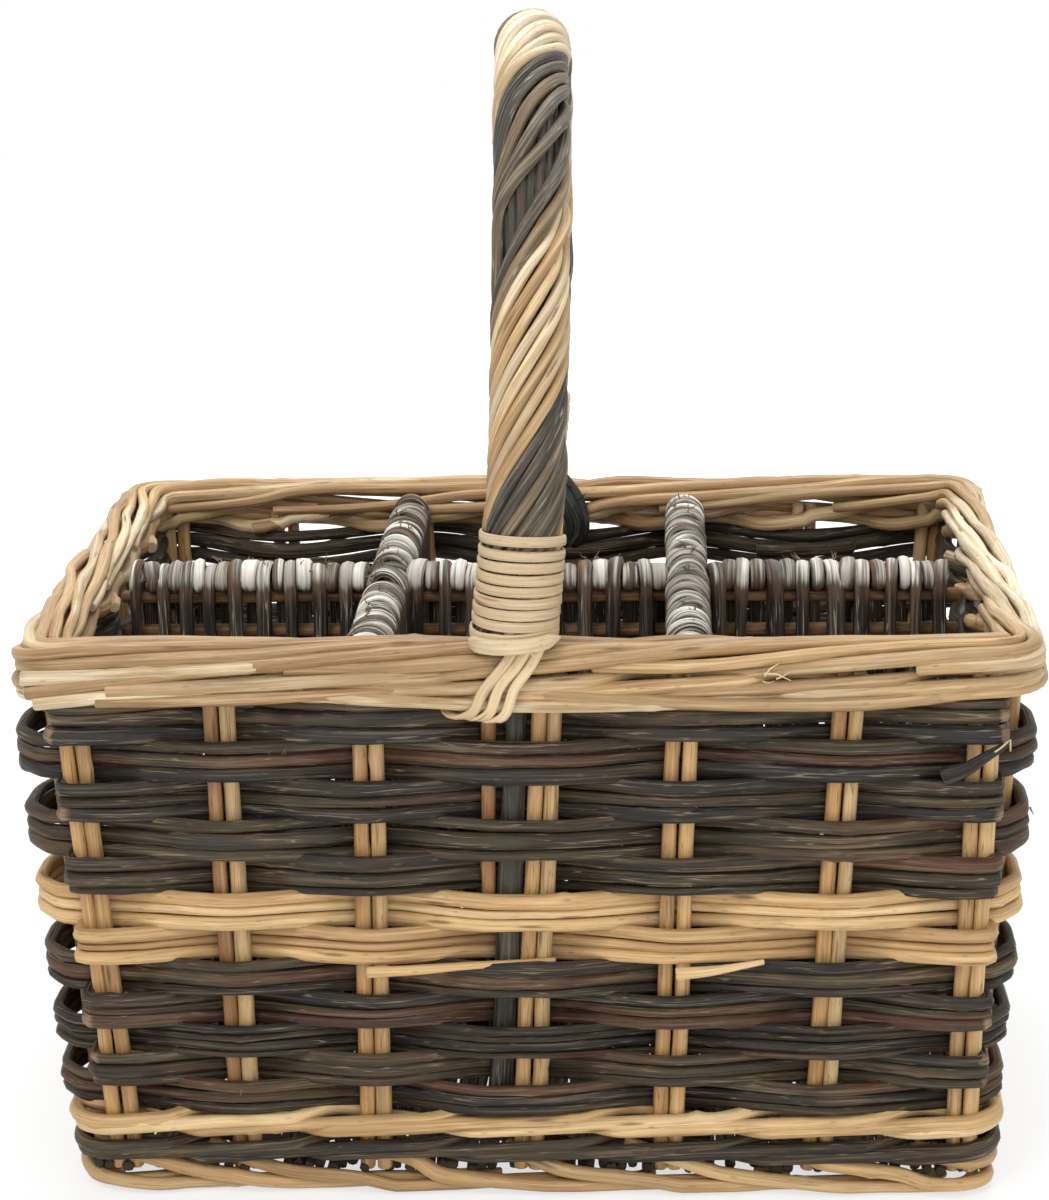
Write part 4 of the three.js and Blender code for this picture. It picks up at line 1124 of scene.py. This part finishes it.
def hairpin(at, place, width, front, folded):
    """A rod bent over a rail: folded, with both legs down on one side, or straddling the rail."""
    tone = divider_tone()
    radius = HAIRPIN_OUTER - HAIRPIN_HALF
    top = random.uniform(*(FOLDED_TOPS if folded else STRADDLING_TOPS))
    outer = FOLD_OUTER_LEG if folded else STRADDLE_LEG
    inner = FOLD_INNER_LEG if folded else [(-side, z) for side, z in STRADDLE_LEG[::-1]]
    arch = [(radius * math.cos(a), CROSS_RAIL_Z + top * math.sin(a) + radius * math.sin(a))
            for a in np.linspace(ARCH_START, math.pi - ARCH_START, ARCH_POINTS)]
    points = np.array([*outer, *arch, *inner])
    tilt, lean = random.normal() * (FOLDED_TILT if folded else TILT), random.normal() * LEAN
    down = (CROSS_RAIL_Z - points[:, 1]) / (CROSS_RAIL_Z - DIVIDER_BOTTOM)
    shift = tilt * points[:, 0] / radius + lean * np.clip(down, 0, 1)
    fine = curve_through(np.column_stack((shift, points)), HAIRPIN_STEP)
    bends = soft_wander(lengths_along(fine), *HAIRPIN_WANDER)
    fine[:, 0] += bends * np.clip((CROSS_RAIL_Z + 2 - fine[:, 2]) / 12, 0.2, 1)
    near_top = fine[:, 2] > CROSS_RAIL_Z - FINE_TOP
    shift, side, z = fine[near_top | (np.arange(len(fine)) % LEG_THINNING == 0)].T
    swell = smooth_step((z - CROSS_RAIL_Z + 8) / 10)
    path = np.column_stack(at(place + shift, side if front else -side, z))
    along_divider = np.array(at(1, 0, 0)) - np.array(at(0, 0, 0))
    half_depth = HAIRPIN_HALF * (0.8 + 0.25 * swell)
    half_width = width / 2 * ((0.96 + 0.08 * swell) if folded else (0.95 - 0.13 * swell))
    worn = 0.25 * swell * (random.random() < WORN_HAIRPIN_SHARE)
    return Rod(path, half_depth, half_width, tone, up=along_divider, square=0.85, worn=worn, rough=1.2)


def divider_rods(at, start, stop, folded):
    """Hairpins side by side from one end of a divider to the other, with torn fibres on some."""
    rods = []
    widths = []
    while sum(widths) < stop - start - 2:
        pitch = LONG_PITCH if folded else random.choice(CROSS_PITCHES)
        widths.append(pitch * random.uniform(*(LONG_WIDTHS if folded else CROSS_WIDTHS)))
    widths = np.array(widths) * (stop - start) / sum(widths)
    places = start + np.cumsum(widths) - widths / 2
    for number, (place, width) in enumerate(zip(places, widths)):
        rods.append(hairpin(at, place, width * 1.02, number % 2 == 0, folded))
        if random.random() < TORN_HAIRPIN_SHARE:
            side = random.uniform(-5, 5)
            crest = CROSS_RAIL_Z + math.sqrt(HAIRPIN_OUTER ** 2 - side ** 2) - 0.6
            torn = at(place + random.normal(), side, crest)
            rods += slivers(torn, (random.normal() * 0.6, -0.5, 0.8), random.integers(2, 5), 3.2, 1.5)
    return rods


# Bow handle

BOW_BASE = RIM_TOP + 0.35
BOW_RISE = 193
BOW_FRONT_X = -4
BOW_BACK_X = -9.4
BOW_SWAY = 7.7
BOW_SWAY_POWER = 3.5

ROPING_RADIUS = 11.6
ROPING_STEP = 2.6
ROPING_TURN = ((-20, 165, 190, 235, 315, 520), (-176, 379, 409, 534, 870, 1485))
LANE_STATIONS = (0, 125, 148, 164, 188, 222, 520)
DARK_LANES = (
    (-72, -72, -72, -72, -72, -72, -72), (-48, -45, -44, -43, -48, -48, -48),
    (-24, -24, 43, 14, -26, -24, -24), (0, 0, 67, 42, 16, 0, 0), (24, 24, 90, 72, 50, 24, 24),
    (48, 48, 110, 100, 83, 48, 48), (72, 72, 128, 125, 111, 72, 72),
)
DARK_LANE_TONES = (0.97, 0.45, 0.72, 0.5, 0.78, 0.32, 0.08)
LIGHT_RODS = 8
LIGHT_LANE_STEP = 24
LIGHT_SQUEEZE = 0.62
LIGHT_SHIFT = 24
LIGHT_DIP = 3.0
PARTING_START = 125
PARTING_END = 222
PALE_TOP_REACH = 75

CORE_RODS = 6
CORE_ROD = 2.7
CORE_RING = 5.2
WINDOW_START = 124
WINDOW_END = 212
WINDOW_ROD = 1.85
WINDOW_RING = (8.3, 9.1)
WINDOW_SINK = 1.6
LEG_BOTTOM = 34.5
NEAR_BLACK_STRIPS = ((3.0, 12.5, 2.5, 0.0), (6.5, 14.5, 2.2, 0.05), (-0.5, 9.0, 2.5, 0.1))
NEAR_BLACK_SLIVERS = ((6, 113, 213), (13, 111, 207), (2, 117, 219))


def bow_centre_line():
    """The bow's middle line from the front rim to the back rim, with its length along it."""
    angle = np.linspace(0, np.pi, 2001)
    sway = 1 - (1 - np.sin(angle)) ** BOW_SWAY_POWER
    points = np.column_stack((
        BOW_FRONT_X + (BOW_BACK_X - BOW_FRONT_X) * (1 - np.cos(angle)) / 2 + BOW_SWAY * sway,
        -half_y(BOW_BASE) * np.cos(angle),
        BOW_BASE + BOW_RISE * np.sin(angle),
    ))
    return points, lengths_along(points)


BOW_POINTS, BOW_ALONG = bow_centre_line()
BOW_LENGTH = BOW_ALONG[-1]


def bow_place(distance):
    return between(distance, BOW_ALONG, BOW_POINTS)


def round_bow(distance, radius, angle):
    """Points round the bow at distances from its front foot; their outward directions come with them."""
    inside = np.clip(distance, 1, BOW_LENGTH - 1)
    tangent = unit(bow_place(inside + 1) - bow_place(inside - 1))
    point = bow_place(inside) + tangent * (distance - inside)[:, None]
    side = np.tile(np.array((1.0, 0, 0)), (len(point), 1))
    outward = unit(np.cross(side, tangent))
    direction = side * np.cos(angle)[:, None] + outward * np.sin(angle)[:, None]
    return point + direction * np.broadcast_to(radius, angle.shape)[:, None], direction


def parted(distance):
    """1 where the dark roping rods part and show the core, 0 elsewhere."""
    return smooth_step((distance - PARTING_START) / 20) * smooth_step((PARTING_END - distance) / 30)


def lane_angle(k, dark, distance):
    """A roping rod's place among its neighbours: the dark ones part once, and squeeze the light ones."""
    if dark:
        return np.radians(softened(np.interp(distance, LANE_STATIONS, DARK_LANES[k]), 4))
    lane = (k - (LIGHT_RODS - 1) / 2) * LIGHT_LANE_STEP
    return np.radians(180 + lane + parted(distance) * (LIGHT_SHIFT + lane * (LIGHT_SQUEEZE - 1)))


def roping_rods(dark):
    """Rods side by side that climb round the core, with their tone raised towards the bow's top."""
    rods = []
    distance = np.arange(0, BOW_LENGTH, ROPING_STEP)
    turn = np.radians(softened(np.interp(distance, *ROPING_TURN), 12))
    top = np.exp(-((distance - BOW_LENGTH / 2) / PALE_TOP_REACH) ** 2)
    half_wide, half_thick, top_paleness, rough = (2.2, 2.2, 0.1, 1.0) if dark else (1.88, 2.25, 0.5, 0.5)
    for k in range(len(DARK_LANES) if dark else LIGHT_RODS):
        angle = math.pi / 2 + lane_angle(k, dark, distance) - turn + soft_wander(distance, 34, 0.05, 2)
        radius = ROPING_RADIUS + soft_wander(distance, 34, 0.4, 2) + random.uniform(-0.3, 0.3)
        if not dark and k % 2:
            radius = radius - LIGHT_DIP * parted(distance)
        path, direction = round_bow(distance, radius, angle)
        size = random.uniform(0.93, 1.05) * np.linspace(1.04, 0.96, len(path))
        # Tone raised towards the bow's top, so the rods are paler there.
        tone = (DARK_LANE_TONES[k] if dark else random.uniform(0.25, 0.9)) + top_paleness * top
        rods.append(Rod(path, half_wide * size, half_thick * size, tone, up=direction, sides=10, rough=rough))
    return rods


def core_rods():
    """Lengthwise rods of the bow, a leg of it beside each middle stake pair, and near-black strips and slivers
    at its back foot.
    """
    rods = []
    distance = np.arange(-4, BOW_LENGTH + 4, 6.0)
    for k in range(CORE_RODS):
        angle = np.full(len(distance), 2 * math.pi * k / CORE_RODS + 0.3) + wander(distance, 70, 0.08)
        path, direction = round_bow(distance, CORE_RING, angle)
        rods.append(Rod(path, CORE_ROD, CORE_ROD, random.uniform(0.2, 1), up=direction))
    distance = np.arange(WINDOW_START, WINDOW_END, 3.5)
    for facing in np.radians(np.arange(20, 200, 23)):
        angle = np.full(len(distance), facing) + wander(distance, 30, 0.08)
        sunk = random.uniform(*WINDOW_RING) - WINDOW_SINK * np.abs(np.linspace(-1, 1, len(distance))) ** 3
        path, direction = round_bow(distance, sunk, angle)
        rods.append(Rod(path, WINDOW_ROD, WINDOW_ROD, random.uniform(0.0, 0.9), up=direction, sides=10))
    heights = np.linspace(LEG_BOTTOM, BOW_BASE + 4, 44)
    for sign in (1, -1):
        path = np.column_stack((middle_stake_x(heights) - LEG_SHIFT, -sign * half_y(heights), heights))
        path[:, 0] += soft_wander(heights, 45, 0.6)
        rods.append(Rod(path, LEG_RADIUS, LEG_RADIUS, 0.3, up=(0, 1, 0), sides=14))
    # Near-black strips and thin slivers hanging at the bow's back foot.
    for start_x, low_x, radius, tone in NEAR_BLACK_STRIPS:
        path = curve_through([(start_x - 4, 119, 222), (start_x + 1, 116, 216), (start_x + 6, 113, 209),
                              (low_x, 111.5, 202), (low_x + 0.5, 112, 195), (low_x - 3, 113.5, 189)], 2.5)
        rods.append(Rod(path, radius, radius, tone, up=(0, 1, 0), sides=10, rough=1.5))
    for place in NEAR_BLACK_SLIVERS:
        rods += slivers(place, (0.6, -0.4, 0.8), 5, 4, 3.0, 0.02, worn=0.0)
    return rods


# Bindings and lashes

CANE_WIDTH = 3.7
CANE_THICKNESS = 1.7
BINDING_RADIUS = 14.6
BINDING_FOOT = 1.8
BINDING_TURNS = 9
BINDING_PITCH = 3.95
STEPS_PER_TURN = 30
END_STEPS = 16
LASH_STRANDS = 3
LASH_WIDTH = 3.8
LASH_THICKNESS = 2.0
LASH_SPREAD = 5.1
LASH_TOP_X = {1: 0.5, -1: -3.0}
LASH_BOTTOM_X = -15.8


def binding_rods(sign):
    """Flat cane wound round a foot of the bow, with its lowest turn askew and its pointed end in front."""
    turn = np.arange(BINDING_TURNS * STEPS_PER_TURN + 1) / STEPS_PER_TURN
    from_foot = BINDING_FOOT + BINDING_PITCH * turn + smooth_step((turn - 7.7) / 0.7)
    angle = sign * (2 * np.pi * turn - np.pi / 2)
    lowest = 1 - smooth_step((turn - 0.5) / 0.9)
    from_foot = from_foot + 1.3 * lowest * np.cos(angle) * sign - 0.9 * (1 - smooth_step(turn))
    from_foot = from_foot + soft_wander(turn * 60, 40, 0.14, 2)
    distance = from_foot if sign > 0 else BOW_LENGTH - from_foot
    radius = BINDING_RADIUS + 0.35 * lowest + soft_wander(turn * 60, 40, 0.16, 2)
    path, direction = round_bow(distance, radius, angle)
    half = CANE_WIDTH / 2 * (1 + 0.2 * lowest)
    rods = [Rod(path, half, CANE_THICKNESS / 2, 0.55, up=direction, sides=12, square=0.6, rough=0.45)]
    angle = math.pi / 2 + np.linspace(1.25, -1.15, END_STEPS)
    distance = np.linspace(0.4, 2.6, END_STEPS)
    distance = distance if sign > 0 else BOW_LENGTH - distance
    radius = BINDING_RADIUS + 1.7 + np.linspace(-0.8, 1.2, END_STEPS)
    path, direction = round_bow(distance, radius, angle)
    half = 2.9 * np.interp(np.arange(END_STEPS), (0, 2, 13, 15), (0.6, 1, 1, 0.2))
    rods.append(Rod(path, half, 0.9, 0.8, up=direction, sides=12, square=0.7, rough=0.45))
    return rods


def lash_rods(sign):
    """Three canes side by side from under the binding, down over the rim and back under the upper wale."""
    rods = []
    level = HIGH_WALE[0]
    top_x, low_x = LASH_TOP_X[sign], LASH_BOTTOM_X
    for k in range(LASH_STRANDS):
        spread = (k - 1) * LASH_SPREAD
        curve = (
            (top_x + 3.5 + spread * 0.75, 8.0, RIM_TOP + 5.0),
            (top_x + 1.5 + spread * 0.85, 9.6, RIM_TOP + 0.5),
            (top_x - 3.0 + spread * 0.95, 11.0, 208.0),
            (top_x - 9.0 + spread, 12.2, 200.5),
            (low_x + 3.5 + spread, 12.4, level - 0.8 - k * 0.7),
            (low_x - 2.0 + spread, 10.2, level - 3.4 - k * 0.6),
            (low_x - 6.5 + spread, 4.6, level - 2.8),
            (low_x - 5.5 + spread, -4.5, level - 1.6),
            (low_x - 3.0 + spread, -9.4, level + 2.0),
            (low_x + 2.0 + spread, -10.2, 200.0),
            (low_x + 4.0 + spread, -13.2, 206.0),
            (low_x + 5.5 + spread, -13.6, 211.0),
        )
        path = curve_through([(x, -sign * (half_y(z) + out), z) for x, out, z in curve], 2.0)
        path[:, 0] += soft_wander(lengths_along(path), 20, 0.4)
        up = unit(np.cross(np.gradient(path, axis=0), np.array((1.0, 0, 0))))
        tone = 0.2 + 0.25 * k
        rods.append(Rod(path, LASH_WIDTH / 2, LASH_THICKNESS / 2, tone, up, sides=12, square=0.75, rough=0.5))
    knot = np.array((top_x + 1.5, -sign * (half_y(RIM_TOP) + 11), RIM_TOP + 1.5))
    return rods + slivers(knot, (0.3, -sign * 0.6, -0.8), 7, 5, 3.0)


# Everything is made here

def build_walls():
    for stake in STAKES:
        name = f"{stake.side}_{stake.number}"
        add_piece("stake_rods_" + name, stake_rods(stake), stake_rod, "stake_pair_" + name)
    for row in range(ROW_COUNT):
        row_finish = peeled_rod if row in LIGHT_ROWS else bark_rod
        add_piece(f"woven_rods_{row + 1:02d}", woven_row(row), row_finish, f"weave_row_{row + 1:02d}")
    for name, levels, radius, depth, tones, wale_finish, cad_node in (
        ("low_dark", LOW_WALE_DARK, 2.5, 5.6, bark_tone, bark_rod, "lower_wale_dark"),
        ("low_light", LOW_WALE_LIGHT, 2.6, 5.7, light_tone, peeled_rod, "lower_wale_light"),
        ("high", HIGH_WALE, 2.7, 6.4, rim_tone, border_rod, "upper_wale"),
    ):
        add_piece("wale_rods_" + name, wale_rods(levels, radius, depth, tones), wale_finish, cad_node)
    rim = strand_rods(RIM_LEVEL, RIM_CONTROLS, RIM_RADIUS, rim_tone, RIM_BUTTS, plaited=True)
    add_piece("rim_rods", rim + slivers(RIM_TEAR, (1, -0.3, 0.4), 6, 6, 2.0), border_rod, "top_border")
    foot = strand_rods(FOOT_LEVEL, FOOT_CONTROLS, FOOT_RADIUS, light_tone, {}, plaited=False)
    add_piece("foot_rods", foot, peeled_rod, "foot_border")


def build_base():
    add_piece("floor_rods", floor_rods(), base_rod, "base_mat")
    reach = half_x(UNDER_RAIL_Z) - UNDER_RAIL_INSET
    for name, y in (("front", -UNDER_RAIL_Y), ("back", UNDER_RAIL_Y)):
        rail = rail_rods((-reach, y, UNDER_RAIL_Z), (reach, y, UNDER_RAIL_Z), 0.5)
        add_piece("under_rail_" + name, rail, rail_rod, "base_rail_" + name)


def build_dividers():
    for name, x in (("left", -CROSS_DIVIDER_X), ("right", CROSS_DIVIDER_X)):
        reach = divider_reach(half_y, 100)
        rods = divider_rods(across_basket(x), -reach, reach, folded=False)
        add_piece("cross_divider_rods_" + name, rods, weathered_rod, "cross_divider_" + name)
        reach = divider_reach(half_y, CROSS_RAIL_Z) + 2
        rail = rail_rods((x, -reach, CROSS_RAIL_Z), (x, reach, CROSS_RAIL_Z), 0.4)
        add_piece("cross_rail_rod_" + name, rail, rail_rod, "cross_rail_" + name)
    outer, inner = CROSS_DIVIDER_X + HAIRPIN_OUTER, CROSS_DIVIDER_X - HAIRPIN_OUTER
    reach = divider_reach(half_x, 100) + 1
    for name, start, stop in (("left", -reach, -outer), ("middle", -inner, inner), ("right", outer, reach)):
        rods = divider_rods(along_basket, start, stop, folded=True)
        add_piece("long_divider_rods_" + name, rods, weathered_rod, "long_divider_" + name)
    for name, z in (("top", LONG_RAIL_Z), ("second", SECOND_RAIL_Z)):
        reach = divider_reach(half_x, z) + 1
        add_piece("long_rail_rod_" + name, rail_rods((-reach, 0, z), (reach, 0, z), 0.75), rail_rod,
                  "long_rail_" + name)


def build_handle():
    add_piece("core_rods", core_rods(), core_rod, "handle_core")
    add_piece("roping_rods_dark", roping_rods(True), roping_bark, "handle_roping_dark")
    add_piece("roping_rods_light", roping_rods(False), border_rod, "handle_roping_light")
    for place, sign in (("front", 1), ("back", -1)):
        add_piece("cane_binding_" + place, binding_rods(sign), cane, "binding_" + place)
        add_piece("cane_lash_" + place, lash_rods(sign), cane, "lash_" + place)


# Studio

SKY_STRENGTH = 0.62
FLOOR_SIZE = 6.0
FLOOR_DROP = 0.0005
FLOOR_GLOW = (0.68, 1.0)
FLOOR_GLOW_REACH = (0.35, 1.1)
PALE = ((0.82, 0.82, 0.82), (0.86, 0.86, 0.86))
FAINT = (0.3, 0.3, 0.3)
LAMPS = (
    ("key", (-0.8, -1.4, 1.7), (0, 0, 0.15), 0.9, 17),
    ("fill", (0.5, -1.7, 0.55), (0, 0, 0.15), 1.2, 9),
    ("top", (0.1, 0.5, 1.9), (0, 0, 0.2), 1.2, 28),
)


def seen_directly(tree):
    """1 for what the camera sees, straight, in gloss or through glass, and 0 for light on things."""
    path = node(tree, "ShaderNodeLightPath").outputs
    seen = math_of(tree, "MAXIMUM", path["Is Camera Ray"], path["Is Glossy Ray"])
    return math_of(tree, "MAXIMUM", seen, path["Is Transmission Ray"])


def build_studio():
    bpy.ops.object.select_all(action="DESELECT")
    bpy.ops.mesh.primitive_plane_add(size=FLOOR_SIZE, location=(0, 0, -FLOOR_DROP))
    floor = bpy.context.object
    floor.name = "studio_floor"
    bpy.ops.object.transform_apply(location=True, rotation=True, scale=True)
    floor.data.materials.append(floor_material())
    world = bpy.data.worlds.new("studio")
    world.use_nodes = True
    bpy.context.scene.world = world
    tree = world.node_tree
    tree.nodes.clear()
    light, white = (
        node(tree, "ShaderNodeBackground", {"Color": (1, 1, 1, 1), "Strength": strength}).outputs[0]
        for strength in (SKY_STRENGTH, 1.0))
    mix = node(tree, "ShaderNodeMixShader", {0: seen_directly(tree), 1: light, 2: white})
    node(tree, "ShaderNodeOutputWorld", {0: mix.outputs[0]})
    for lamp in LAMPS:
        add_lamp(*lamp)
    bpy.context.scene.view_settings.view_transform = "Standard"


def floor_material():
    """A pale floor that reads white where it is bare, and keeps the basket's soft contact shadow."""
    material, tree = new_material("pale floor")
    place = node(tree, "ShaderNodeTexCoord").outputs["Object"]
    pale = mixed(tree, band(tree, noise(tree, place, (3, 3), 2.0), 0.3, 0.7), *PALE)
    distance = node(tree, "ShaderNodeVectorMath", {0: place}, operation="LENGTH").outputs["Value"]
    glow = band(tree, distance, *FLOOR_GLOW_REACH, *FLOOR_GLOW)
    set_shader(tree, {
        "Base Color": mixed(tree, seen_directly(tree), pale, FAINT),
        "Roughness": 0.9,
        "Emission Color": grey_of(tree, math_of(tree, "MULTIPLY", seen_directly(tree), glow)),
        "Emission Strength": 1.0,
    })
    return material


def add_lamp(name, place, target, size, power):
    data = bpy.data.lights.new(name, "AREA")
    data.shape, data.size, data.energy = "SQUARE", size, power
    lamp = bpy.data.objects.new(name, data)
    lamp.location = place
    lamp.rotation_euler = (Vector(target) - Vector(place)).to_track_quat("-Z", "Y").to_euler()
    bpy.context.collection.objects.link(lamp)


add_camera()
build_walls()
build_base()
build_dividers()
build_handle()
build_studio()
